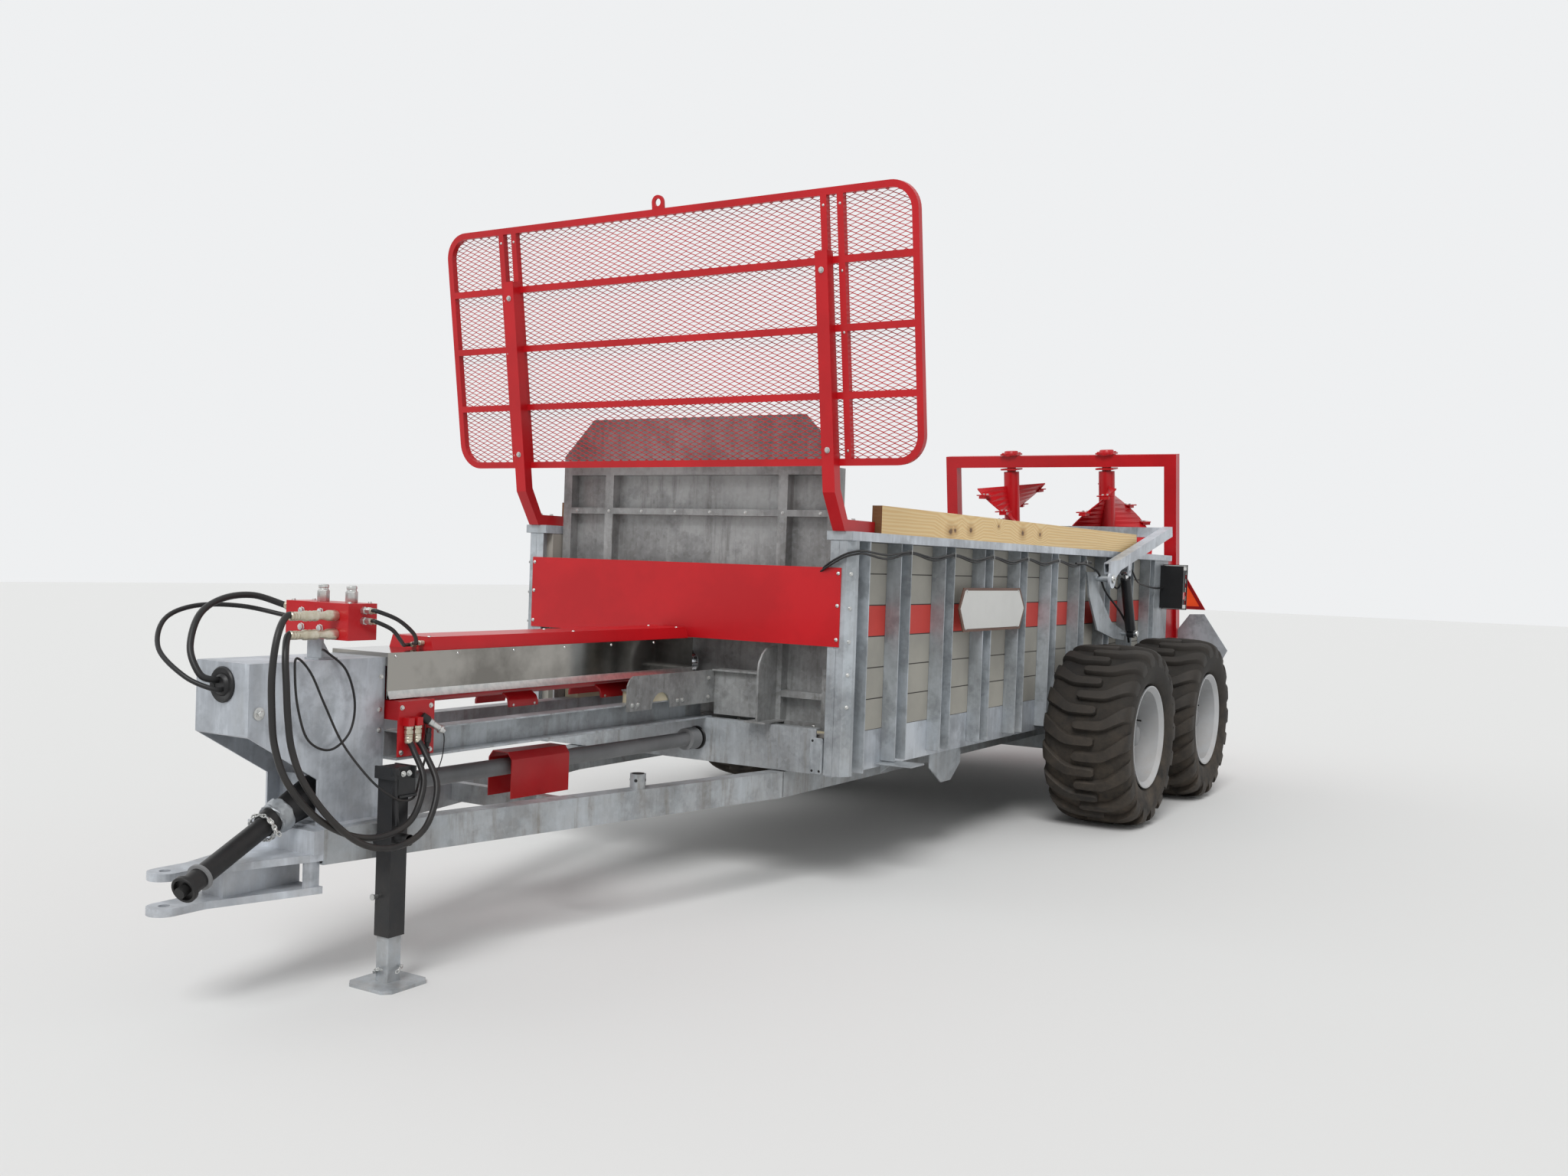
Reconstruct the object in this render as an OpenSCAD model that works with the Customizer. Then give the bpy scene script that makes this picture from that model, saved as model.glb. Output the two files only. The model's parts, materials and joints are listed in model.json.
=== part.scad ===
// Manure spreader with a hydraulic push gate, two upright beaters and a tandem axle.
// Millimetres. The machine's front is -Y, its left side is +X, up is +Z.
// The origin is on the ground, in the middle of the machine's length and width. Places along the
// machine are measured from the front of the load box, and the whole is moved to the origin at the end.

/* [Load box] */
// Length of the load box
box_len = 4880; // [4700:10:5100]
// Half of the inside width
in_half = 800; // [780:5:830]
// Thickness of the side boards
board_t = 40; // [30:1:45]
// Height of one side board
course_h = 144; // [135:1:150]
// Number of side boards above each other
courses = 6; // [5:1:7]
// Height of the floor's top above the ground
floor_z = 712; // [700:2:730]
// Thickness of the floor
floor_t = 12; // [8:1:16]
// Height of the side sills
sill_h = 180; // [160:5:200]
// Wall of sills, posts and rails
wall = 6; // [4:0.5:8]
// Height of the top rails
rail_h = 40; // [30:2:60]
// Width of the top rails
rail_w = 130; // [110:5:150]

/* [Side posts] */
// Place of the first side post behind the box front
post_y0 = 515; // [480:5:560]
// Distance from the last side post to the box's rear end
post_end = 421; // [400:1:440]
// Number of side posts on a side
posts = 9; // [7:1:9]
// Depth of a side post
post_d = 75; // [60:1:80]
// Width of a side post
post_w = 96; // [80:2:120]
// Width of a lip of a side post
post_lip = 22; // [16:1:30]
// Gap from the ground to the foot of the side posts
post_z0 = 560; // [545:1:600]

/* [Front of the box] */
// Width of a front corner post along the machine
corner_w = 90; // [70:2:110]
// Height of the front cross member
front_beam_h = 200; // [180:5:220]
// Half of the red front board's width
board_half = 879; // [860:1:890]
// Lower edge of the red front board
board_z0 = 1110; // [1090:5:1150]
// Height of the red front board
front_board_h = 346; // [320:2:360]
// Thickness of folded sheet panels
sheet_t = 5; // [3:0.5:8]

/* [Planks] */
// Thickness of the wooden planks on the top rails
plank_t = 50; // [38:1:60]
// Height of the wooden planks
plank_h = 125; // [100:5:150]
// Front end of the planks
plank_y0 = 215; // [200:5:300]
// Distance from the planks' rear end to the box's rear end
plank_end = 880; // [800:10:1000]

/* [Tongue] */
// Height of the frame rails
beam_h = 116; // [100:2:130]
// Width of the frame rails
beam_w = 76; // [60:2:90]
// Height of the rails' underside above the ground
beam_z = 424; // [410:2:430]
// Distance of the rails from the middle plane under the box
beam_x = 585; // [560:5:620]
// Distance from the box front to the front end of the tongue rails
tongue_len = 2215; // [2150:5:2300]
// Distance of the tongue rails from the middle plane at their front end
tongue_x = 128; // [120:2:150]
// Distance from the rails' front end to the hitch pin
nose_len = 465; // [440:5:500]
// Radius of the hitch pin hole
hitch_r = 17; // [13:0.5:20]
// Thickness of a hitch ear
ear_t = 24; // [18:1:30]
// Half width of a hitch ear at its tip
ear_half = 52; // [45:1:60]
// Height of the lower ear's underside
ear_z = 330; // [320:1:340]
// Clear height between the ears
ear_gap = 84; // [70:1:90]

/* [Pedestal and cover] */
// Half width of the pedestal
ped_half = 129; // [120:1:135]
// Plate thickness of the pedestal
ped_t = 8; // [6:1:10]
// Top of the pedestal above the ground
ped_top = 1096; // [1090:2:1100]
// Length of the pedestal's head
ped_len = 557; // [540:1:580]
// Distance from the rails' front end back to the pedestal's rear face
ped_back = 278; // [270:1:300]
// Height of the pedestal's front face
ped_face_h = 230; // [200:5:250]
// Half width of the bright cylinder cover
cover_half = 140; // [136:1:150]
// Height of the bright cover
cover_h = 160; // [140:2:170]
// Sheet thickness of the bright cover
cover_t = 3; // [2:0.5:4]
// Height of the red rail on the cover
ridge_h = 46; // [36:2:56]

/* [Push cylinder] */
// Height of the push cylinder's middle
push_z = 985; // [980:1:990]
// Radius of the push cylinder's barrel
barrel_r = 75; // [74:0.5:80]
// Step in radius from one stage to the next
stage_step = 11; // [10:0.5:12]

/* [Push gate] */
// Front face of the gate sheet behind the box front
gate_y = 60; // [50:1:80]
// Depth of the gate's frame
gate_d = 60; // [40:1:70]
// Top of the push gate above the ground
gate_top = 2143; // [2050:1:2200]
// Side clearance of the push gate in the box
gate_gap = 12; // [8:1:20]
// Size of the cut-off top corners of the gate
gate_chamfer = 180; // [120:5:220]

/* [Wheels] */
// Radius of a tyre
tyre_r = 526; // [510:1:530]
// Width of a tyre
tyre_w = 500; // [450:5:500]
// Distance of a wheel's middle from the middle plane
track_x = 1225; // [1220:1:1250]
// Radius of the rim flange
rim_r = 298; // [280:1:310]
// Distance from the tandem pivot to the box's rear end
bogie_end = 1530; // [1500:5:1560]
// Distance between the two axles
axle_gap = 1320; // [1280:5:1360]
// Number of lugs on one side of a tyre
lugs = 18; // [12:1:20]
// Height of a lug
lug_h = 34; // [20:1:40]

/* [Beaters] */
// Rake of the beaters from upright, top to the front
rake = 8; // [5:0.5:10]
// Distance of the beaters' upper bearings behind the box's rear end
beater_back = 70; // [60:2:90]
// Height of the beater frame's top
beater_top = 2370; // [2300:5:2400]
// Distance of a beater from the middle plane
beater_x = 385; // [380:1:392]
// Radius that the beater teeth sweep
beater_r = 375; // [340:1:378]
// Radius of a beater's tube
beater_tube = 60; // [55:1:76]
// Number of knives along one flight
knives = 11; // [8:1:14]
// Width of a knife
knife_w = 55; // [40:1:70]
// Side of the red square tubes
frame_tube = 90; // [76:2:100]
// Distance of the beater frame posts from the middle plane
frame_x = 880; // [875:1:890]

/* [Rear gate] */
// Height of the rear gate's pivot
pivot_z = 1436; // [1430:2:1444]
// Distance from the rear gate's pivot to the box's rear end
pivot_end = 1675; // [1660:5:1690]
// Side of the gate arms' tube
arm_w = 70; // [60:1:76]
// Inner face of a gate arm from the middle plane
arm_x = 952; // [948:1:960]
// Slope of the gate arms
arm_slope = 12.5; // [10:0.5:14]

/* [Safety guard] */
// Half width of the guard
guard_half = 1300; // [1250:5:1320]
// Lower edge of the guard above the ground
guard_z = 1892; // [1850:2:1950]
// Height of the guard along its slope
guard_h = 1160; // [1100:5:1200]
// Lean of the guard to the front
guard_lean = 8; // [4:0.5:10]
// Side of the guard's square tubes and bars
guard_bar = 30; // [25:1:40]
// Outer radius of the guard's round corners
guard_round = 125; // [80:5:200]
// Width of a diamond of the guard's mesh
mesh_w = 51; // [40:1:80]
// Height of a diamond of the guard's mesh
mesh_h = 23; // [18:1:40]
// Width of a strand of the mesh
strand = 3.5; // [3:0.5:6]
// Width of the guard posts' tube across the machine
guard_post = 60; // [50:1:76]
// Depth of the guard posts' tube
guard_post_d = 50; // [40:1:60]
// Distance of the guard posts from the middle plane
guard_post_x = 868; // [860:1:880]

/* [Jack] */
// Side of the jack's outer tube
jack_w = 70; // [60:1:76]
// Side of the jack's inner tube
jack_in = 56; // [48:1:58]
// Distance of the jack behind the rails' front end
jack_back = 205; // [190:5:220]
// Distance of the jack from the middle plane
jack_x = 262; // [256:1:280]
// Side of the jack's foot plate
foot_w = 200; // [160:5:220]

/* [Hidden] */
$fn = 48;
wall_x = in_half + board_t;
board_z = floor_z;
board_top = floor_z + courses * course_h;
post_x = wall_x + post_d;
rail_top = board_top + rail_h;
sill_z = floor_z - sill_h;
beam_top = beam_z + beam_h;
post_pitch = (box_len - post_y0 - post_end) / (posts - 1);
plank_y1 = box_len - plank_end;
hitch_y = tongue_len + nose_len;
ped_y = tongue_len - ped_back;
ped_y0 = -ped_y - ped_len;
front_y = -corner_w + 40;
jack_y = tongue_len - jack_back;
bogie_y = box_len - bogie_end;
axle_y = [bogie_y - axle_gap / 2, bogie_y + axle_gap / 2];
beater_y = box_len + beater_back;
pivot_y = box_len - pivot_end;
// Distance from the box front to the machine's middle, where the origin is
origin_y = (box_len - hitch_y) / 2 + 240;

// Routes of the hoses and the cable, from the pedestal's rear face. The two large hoses run from the
// couplers down round the jack to the ported plate, two lines go into the pedestal's face, two go
// under the red rail, and the lamp cable hangs in loops from the bracket.
upper_route = [[225, -455, 1250], [225, -500, 1250], [250, -552, 1190], [256, -573, 1080],
  [256, -570, 960], [264, -562, 850],
  [300, -540, 740], [332, -452, 625], [338, -312, 548], [338, -172, 528], [332, -50, 568], [300, 28, 680],
    [240, 38, 775],
  [218, 32, 815], [218, 32, 835]];
lower_route = [[225, -455, 1190], [225, -492, 1190], [262, -530, 1130], [280, -538, 1040],
  [286, -534, 940], [294, -522, 840],
  [324, -495, 735], [358, -410, 610], [368, -285, 518], [368, -145, 492], [360, -16, 536], [326, 66, 660],
    [250, 78, 770],
  [218, 72, 815], [218, 72, 835]];
grommet_route = [[-60, -243, 1268], [-95, -243, 1268], [-150, -330, 1300], [-150, -450, 1290],
  [-118, -560, 1240], [-78, -620, 1140],
  [-30, -620, 1060], [-8, -590, 1040], [-8, -557.3, 1040]];
line_route = [[-60, -243, 1234], [-95, -243, 1234], [-200, -340, 1262], [-250, -480, 1262],
  [-240, -600, 1220], [-180, -660, 1130],
  [-60, -650, 1050], [16, -600, 1012], [16, -557.3, 1012]];
outer_route = [[320, -243, 1268], [348, -243, 1268], [365, -170, 1240], [300, -40, 1190], [180, 90, 1150],
  [60, 195, 1134], [60, 239.7, 1134]];
inner_route = [[320, -243, 1234], [342, -243, 1234], [348, -180, 1208], [260, -60, 1166], [130, 80, 1136],
  [22, 195, 1126], [22, 239.7, 1126]];
cable_route = [[114, -260, 1130], [135, -255, 1120], [150, -190, 1060], [150, -150, 950],
  [150, -170, 850], [150, -250, 800], [150, -340, 840],
  [150, -385, 950], [150, -400, 1060], [152, -395, 1110], [160, -345, 1060], [168, -290, 950],
    [190, -230, 820], [270, -180, 705],
  [311, -125, 648], [316, -75, 628], [306, -25, 630], [275, 20, 645], [245, 65, 690], [226, 105, 745],
    [222, 116, 795]];

// A copy on each side of the middle plane
module both() {
  children();
  mirror([1, 0, 0]) children();
}

// A cylinder along X from x0 to x1
module rod_x(x0, x1, y, z, r) {
  translate([x0, y, z]) rotate([0, 90, 0]) cylinder(r = r, h = x1 - x0);
}

// A cylinder along Y from y0 to y1
module rod_y(y0, y1, x, z, r) {
  translate([x, y0, z]) rotate([-90, 0, 0]) cylinder(r = r, h = y1 - y0);
}

// A block from one corner to the opposite corner
module block(a, b) {
  translate(a) cube(b - a);
}

// An outline in the Y-Z plane, thick from x0 to x1
module plate_x(x0, x1) {
  translate([x0, 0, 0]) rotate([90, 0, 90]) linear_extrude(height = x1 - x0) children();
}

// An outline in the X-Z plane, thick from y0 to y1
module plate_y(y0, y1) {
  translate([0, y1, 0]) rotate([90, 0, 0]) linear_extrude(height = y1 - y0) children();
}

// A hollow rectangular tube between two points in plan, on its underside height
module plan_tube(a, b, z, w, h, t) {
  len = norm(b - a);
  translate([a[0], a[1], z]) rotate([0, 0, atan2(b[1] - a[1], b[0] - a[0])])
    difference() {
      translate([0, -w / 2, 0]) cube([len, w, h]);
      translate([-1, -w / 2 + t, t]) cube([len + 2, w - 2 * t, h - 2 * t]);
    }
}

// Middle line of a tongue rail at a distance before the box front
function rail_mid(y) = tongue_x + (beam_x - tongue_x) * (tongue_len - y) / (tongue_len + front_y);
rail_lean = atan2(beam_x - tongue_x, tongue_len + front_y);
rail_half = beam_w / 2 / cos(rail_lean);
stub_y = tongue_len - 1365;
tie_y = tongue_len - 1085;
stub_r = 32;

module tongue_frame() {
  color("silver") {
    both() intersection() {
      plan_tube([beam_x, front_y], [tongue_x, -tongue_len], beam_z, beam_w, beam_h, wall);
      block([0, -tongue_len, beam_z - 1], [beam_x + beam_w, front_y, beam_top + 1]);
    }
    block([-rail_mid(tie_y) + rail_half - wall, -tie_y - 20, beam_z + 20],
      [rail_mid(tie_y) - rail_half + wall, -tie_y + 20, beam_top - 20]);
    translate([rail_mid(stub_y), -stub_y, beam_top]) difference() {
      cylinder(r = stub_r, h = 60);
      translate([0, 0, 20]) cylinder(r = stub_r - 5, h = 60);
    }
  }
}

module nose_plan() {
  difference() {
    union() {
      polygon([[-tongue_x - 38, -tongue_len], [tongue_x + 38, -tongue_len], [tongue_x + 20, -tongue_len - 60],
        [ear_half, -hitch_y + 110], [ear_half, -hitch_y], [-ear_half, -hitch_y], [-ear_half, -hitch_y + 110],
        [-tongue_x - 20, -tongue_len - 60]]);
      translate([0, -hitch_y]) circle(r = ear_half);
    }
    translate([0, -hitch_y]) circle(r = hitch_r);
  }
}

module tongue_nose() {
  ear_top = ear_z + 2 * ear_t + ear_gap;
  color("silver") {
    translate([0, 0, ear_z]) linear_extrude(height = ear_t) nose_plan();
    translate([0, 0, ear_z + ear_t + ear_gap]) linear_extrude(height = ear_t) nose_plan();
    both() block([tongue_x + 10, -tongue_len - 60, ear_z + ear_t],
      [tongue_x + 20, -tongue_len, ear_z + ear_t + ear_gap]);
    block([-ear_half, -hitch_y + 170, ear_z + ear_t], [ear_half, -tongue_len, ear_z + ear_t + ear_gap]);
    block([-tongue_x - 38, -tongue_len - 40, ear_top], [tongue_x + 38, -tongue_len, beam_top]);
  }
}

module pedestal_side() {
  polygon([[ped_y0, ped_top - ped_face_h], [ped_y0, ped_top], [-ped_y, ped_top], [-ped_y, beam_top + 8],
    [-tongue_len, beam_top + 8], [-tongue_len, 701]]);
}

module pedestal() {
  color("silver") {
    difference() {
      plate_x(-ped_half, ped_half) pedestal_side();
      plate_x(-ped_half + ped_t, ped_half - ped_t)
        polygon([[ped_y0 + ped_t, 800], [ped_y0 + ped_t, ped_top - ped_t], [-ped_y + 5, ped_top - ped_t],
          [-ped_y + 5, beam_top], [-tongue_len - 5, beam_top], [-tongue_len - 5, 700], [ped_y0, 800]]);
      rod_y(ped_y0 - 1, ped_y0 + ped_t + 1, 0, 1020, 55);
    }
    block([-ped_half - 40, -tongue_len, beam_top], [ped_half + 40, -ped_y, beam_top + 8]);
    block([-ped_half + ped_t, -ped_y - ped_t, 860], [ped_half - ped_t, -ped_y, ped_top - ped_t]);
    difference() {
      block([-ped_half + ped_t, -shaft_plate_y - 10, beam_top + 8], [ped_half - ped_t, -shaft_plate_y, 700]);
      rod_y(-shaft_plate_y - 11, -shaft_plate_y + 1, pto_c[0], pto_c[2], 35);
    }
  }
}

module jack_tube() {
  color("dimgray") {
    difference() {
      block([jack_x - jack_w / 2, -jack_y - jack_w / 2, 167],
        [jack_x + jack_w / 2, -jack_y + jack_w / 2, 740]);
      block([jack_x - jack_in / 2 - 0.3, -jack_y - jack_in / 2 - 0.3, 160],
        [jack_x + jack_in / 2 + 0.3, -jack_y + jack_in / 2 + 0.3, 734]);
    }
    intersection() {
      rod_x(rail_mid(jack_y), jack_x - jack_w / 2 + 2, -jack_y, beam_z + beam_h / 2, 30);
      outside_rail(jack_y);
    }
    rod_x(jack_x + jack_w / 2 - 2, jack_x + jack_w / 2 + 55, -jack_y - 5, 500, 19);
  }
}

// The space outside the left tongue rail
module outside_rail(y) {
  linear_extrude(height = 900) polygon([[rail_mid(y + 200) + rail_half + 0.2, -y - 200],
    [rail_mid(y - 200) + rail_half + 0.2, -y + 200],
    [rail_mid(y - 200) + 400, -y + 200], [rail_mid(y - 200) + 400, -y - 200]]);
}

module jack_leg() {
  color("silver") {
    block([jack_x - jack_in / 2, -jack_y - jack_in / 2, 10],
      [jack_x + jack_in / 2, -jack_y + jack_in / 2, 620]);
    translate([jack_x, -jack_y, 0]) linear_extrude(height = 12) difference() {
      square(foot_w, center = true);
      for (a = [45:90:315]) rotate([0, 0, a]) translate([foot_w * 0.62, -foot_w / 2]) square(foot_w);
    }
  }
}

// The drooping guard tube of the shaft: its free end, its inner end and the bearing in the pedestal
shaft_plate_y = tongue_len - 60;
pto_a = [150, -tongue_len - 499, 436];
pto_b = [50, -tongue_len - 121, 572];
pto_c = [32, -shaft_plate_y - 10, 632];
module along(a, b) {
  d = b - a;
  translate(a) rotate([0, acos(d[2] / norm(d)), atan2(d[1], d[0])]) children();
}

module pto_shield() {
  len = norm(pto_b - pto_a);
  color("black") {
    along(pto_a, pto_b) {
      difference() {
        cylinder(r = 33, h = len);
        translate([0, 0, -1]) cylinder(r = 29, h = len - 40);
      }
      translate([0, 0, -30]) cylinder(r = 17.5, h = 60);
      translate([0, 0, 25]) cylinder(r = 22, h = len - 35);
    }
    intersection() {
      along(pto_b, pto_c) translate([0, 0, -30]) cylinder(r1 = 40, r2 = 66, h = norm(pto_c - pto_b) + 60);
      block([-200, -3000, 0], [200, -shaft_plate_y - 10, 900]);
    }
  }
}

drive_front = [pto_c[0], -shaft_plate_y - 7, pto_c[2]];
drive_x = 145;
drive_z = 648;
drive_rear = [drive_x, front_y - 60, drive_z];
drive_end = beater_y + 172;
module driveline() {
  color("gray") {
    along(drive_front, drive_rear) cylinder(r = 33, h = norm(drive_rear - drive_front));
    rod_y(front_y - 95, front_y - 25, drive_x, drive_z, 50);
    rod_y(front_y - 30, drive_end, drive_x, drive_z, 30);
  }
}

module driveline_shield() {
  color("firebrick") {
    translate([86, -tie_y, beam_top - 20]) rotate([0, 0,
      atan2(drive_rear[1] - drive_front[1], drive_rear[0] - drive_front[0]) - 90])
      plate_y(-160, 160) polygon([[-64, 0], [-60, 0], [-60, 150], [-40, 176], [40, 176], [60, 150],
        [60, 0], [64, 0], [64, 152],
        [42, 180], [-42, 180], [-64, 152]]);
  }
}

cover_top = ped_top + 15;
module cylinder_cover() {
  color("gainsboro") {
    difference() {
      block([-cover_half, -ped_y, cover_top - cover_h], [cover_half, -100, cover_top]);
      block([-cover_half + cover_t, -ped_y - 1, cover_top - cover_h - 1],
        [cover_half - cover_t, -99, cover_top - cover_t]);
    }
    block([-cover_half, -ped_y, push_z + barrel_r + 6], [cover_half, -ped_y + cover_t, cover_top]);
  }
}

module cover_ridge() {
  color("firebrick") {
    plate_y(-ped_y + 240, -100)
      polygon([[-112, cover_top], [112, cover_top], [96, cover_top + ridge_h], [-96, cover_top + ridge_h]]);
  }
}

port_x = 203;
port_y = [-ped_y + 32, -ped_y + 72];
module push_barrel() {
  bore = barrel_r - stage_step + 0.3;
  color("firebrick") {
    difference() {
      union() {
        rod_y(-ped_y, -110, 0, push_z, barrel_r);
        block([50, -ped_y + 8, push_z - 105], [port_x, -ped_y + 148, push_z - 39]);
        block([port_x - 8, -ped_y, 755], [port_x, -ped_y + 165, push_z - 39]);
      }
      rod_y(-ped_y + 30, -109, 0, push_z, bore);
    }
    for (y = port_y) {
      block([port_x - 2, y - 13, 862], [port_x + 28, y + 13, 890]);
      translate([port_x + 15, y, 835]) cylinder(r = 10, h = 30);
    }
  }
}

module stage(n, y0, y1, solid) {
  r = barrel_r - n * stage_step;
  difference() {
    rod_y(y0, y1, 0, push_z, r);
    if (!solid) rod_y(y0 - 1, y1 + 1, 0, push_z, r - stage_step + 0.3);
  }
}

module push_stage_1() {
  color("lightgray") stage(1, -ped_y + 60, -80, false);
}

module push_stage_2() {
  color("lightgray") stage(2, -ped_y + 70, -60, false);
}

module push_rod() {
  color("lightgray") {
    stage(3, -ped_y + 80, gate_y - 8, true);
    rod_y(gate_y - 8, gate_y, 0, push_z, barrel_r - 10);
  }
}

slide_x = 160;
slide_z = 545 + front_beam_h;

// The front cross channel and the two slide rails that stand on it
module front_beam() {
  color("silver") both() difference() {
    block([slide_x - 35, -ped_y, slide_z - 2], [slide_x + 35, -5, slide_z + 100]);
    block([slide_x - 29, -ped_y - 1, slide_z + 6], [slide_x + 36, -4, slide_z + 94]);
  }
  color("silver") difference() {
    block([-in_half + 20, front_y, 545], [in_half - 20, -4, 545 + front_beam_h]);
    block([-in_half + 19, front_y + wall, 545 + wall], [in_half - 19, 0, 545 + front_beam_h - wall]);
    rod_y(front_y - 1, 0, drive_x, drive_z, 42);
  }
}

// The front corner posts and the wide channels that close the box sides at the rear
rear_post_y = box_len - 340;
rear_post_x = wall_x + 65;
module corner_posts() {
  color("silver") both() {
    difference() {
      block([wall_x - 20, front_y, 545], [rail_w + in_half, -1, board_top]);
      block([wall_x - 14, front_y + wall, 544], [rail_w + in_half + 1, -7, board_top + 1]);
    }
    difference() {
      block([wall_x, rear_post_y, post_z0], [rear_post_x, box_len, board_top]);
      block([wall_x - 1, rear_post_y + wall, post_z0 - 1],
        [rear_post_x - wall, box_len - wall, board_top + 1]);
    }
  }
}

module front_board() {
  color("firebrick") {
    block([-board_half, front_y - sheet_t, board_z0], [board_half, front_y, board_z0 + front_board_h]);
    block([-in_half, front_y, board_z0], [in_half, front_y + 30, board_z0 + sheet_t]);
    block([-in_half, front_y, board_z0 + front_board_h - sheet_t],
      [in_half, front_y + 30, board_z0 + front_board_h]);
  }
}

module floor_sheet() {
  color("gray") block([-in_half, 0, floor_z - floor_t], [in_half, box_len, floor_z]);
}

module main_rails() {
  color("silver") both() difference() {
    block([beam_x - beam_w / 2, front_y, beam_z], [beam_x + beam_w / 2, box_len, beam_top]);
    block([beam_x - beam_w / 2 + wall, front_y - 1, beam_z + wall],
      [beam_x + beam_w / 2 - wall, box_len + 1, beam_top - wall]);
  }
}

cross_n = 10;
cross_pitch = (box_len - 120) / (cross_n - 1);
module cross_members() {
  color("silver") for (k = [0:cross_n - 1]) translate([0, 30 + k * cross_pitch, 0]) difference() {
    block([-in_half, 0, beam_top], [in_half, 60, floor_z - floor_t]);
    block([-in_half - 1, wall, beam_top + wall], [in_half + 1, 61, floor_z - floor_t - wall]);
    rod_y(-1, 10, drive_x, drive_z, 42);
  }
}

module boards(first, count) {
  both() difference() {
    block([in_half, 0, board_z + first * course_h], [wall_x, box_len, board_z + (first + count) * course_h]);
    for (k = [0:count])
      block([wall_x - 2, -1, board_z + (first + k) * course_h - 1.5],
        [wall_x + 1, box_len + 1, board_z + (first + k) * course_h + 1.5]);
  }
}

stripe = 3;
module side_boards() {
  color("darkgray") {
    boards(0, stripe);
    boards(stripe + 1, courses - stripe - 1);
  }
}

module stripe_boards() {
  color("indianred") boards(stripe, 1);
}

// Outline of a side post in plan, its web against the boards
module post_plan() {
  polygon([[0, -post_w / 2 - post_lip], [wall, -post_w / 2 - post_lip], [wall, -post_w / 2],
    [post_d, -post_w / 2 + 14],
    [post_d, post_w / 2 - 14], [wall, post_w / 2], [wall, post_w / 2 + post_lip], [0, post_w / 2 + post_lip],
    [0, post_w / 2 - wall], [post_d - wall, post_w / 2 - 14 - wall], [post_d - wall, -post_w / 2 + 14 + wall],
    [0, -post_w / 2 + wall]]);
}

module side_posts() {
  color("silver") both() for (k = [0:posts - 1])
    translate([wall_x, post_y0 + k * post_pitch, post_z0]) linear_extrude(height = board_top - post_z0)
      post_plan();
}

module top_rails() {
  color("silver") both() difference() {
    block([in_half, front_y, board_top], [in_half + rail_w, box_len, rail_top]);
    block([in_half + wall, front_y - 1, board_top + wall],
      [in_half + rail_w - wall, box_len + 1, rail_top - wall]);
  }
}

module side_sills() {
  color("silver") both() difference() {
    block([in_half, 0, sill_z], [wall_x, box_len, floor_z]);
    block([in_half - 1, -1, sill_z + wall], [wall_x - wall, box_len + 1, floor_z - wall]);
  }
}

module planks() {
  color("burlywood") both()
    block([in_half + rail_w - plank_t, plank_y0, rail_top], [in_half + rail_w, plank_y1, rail_top + plank_h]);
}

// Points of the guard's leaning plane
guard_y0 = -134;
module guard_place() {
  translate([0, guard_y0, guard_z]) rotate([guard_lean, 0, 0]) children();
}

// A point of the guard's side view, given across and along its lean
function lean_pt(y, z) = [guard_y0 + y * cos(guard_lean) - z * sin(guard_lean),
  guard_z + y * sin(guard_lean) + z * cos(guard_lean)];
foot_h = 50;

// The two posts that carry the guard
module guard_posts() {
  f = -guard_post_d;
  low = -110;
  toe_y = -68;
  heel = rail_top + foot_h;
  color("firebrick") both() difference() {
    plate_x(guard_post_x - guard_post / 2, guard_post_x + guard_post / 2)
      polygon([lean_pt(f, 900), lean_pt(f, low), [toe_y, rail_top], [plank_y0 - 5, rail_top],
        [plank_y0 - 5, heel],
        [toe_y + 22, heel], lean_pt(0, low + 12), lean_pt(0, 20), lean_pt(2, 20), lean_pt(2, 900)]);
    plate_x(guard_post_x - guard_post / 2 + 5, guard_post_x + guard_post / 2 - 5)
      polygon([[toe_y + 40, rail_top + 5], [plank_y0, rail_top + 5], [plank_y0, heel - 5],
        [toe_y + 40, heel - 5]]);
  }
}

// A rectangle with round corners, from the guard's edge inwards
module guard_outline(inset) {
  w = guard_half - inset;
  r = guard_round - inset;
  hull() for (s = [-1, 1]) for (z = [inset + r, guard_h - inset - r]) translate([s * (w - r), z])
    circle(r = r);
}

// Heights of the guard's cross bars and places of its upright bars
cross_bars = [for (k = [1:3]) k * (guard_h - guard_bar) / 4];
upright_bars = [-940, -860, 860, 940];
module guard_frame() {
  guard_posts();
  color("firebrick") guard_place() {
    plate_y(0, guard_bar) {
      difference() {
        guard_outline(0);
        guard_outline(guard_bar);
      }
      for (z = cross_bars) translate([-guard_half + guard_bar / 2, z])
        square([2 * guard_half - guard_bar, guard_bar]);
      for (x = upright_bars) translate([x - guard_bar / 2, guard_bar / 2])
        square([guard_bar, guard_h - guard_bar]);
    }
    plate_y(guard_bar / 2 - 6, guard_bar / 2 + 6) difference() {
      union() {
        translate([0, guard_h + 30]) circle(r = 32);
        translate([-32, guard_h - 5]) square([64, 35]);
      }
      translate([0, guard_h + 30]) circle(r = 17);
    }
  }
}

// One layer of the mesh: slanting strands in an edge strip
module mesh_layer(slant) {
  rise = mesh_h / mesh_w;
  reach = guard_half + guard_h / rise / 2;
  difference() {
    guard_outline(8);
    guard_outline(22);
  }
  intersection() {
    guard_outline(20);
    for (k = [-ceil(reach / mesh_w) - 1:ceil(reach / mesh_w) + 1]) translate([k * mesh_w, guard_h / 2])
      rotate([0, 0, slant * atan(rise)]) translate([-2 * guard_h / rise, -strand / 2])
        square([4 * guard_h / rise, strand]);
  }
}

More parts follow.
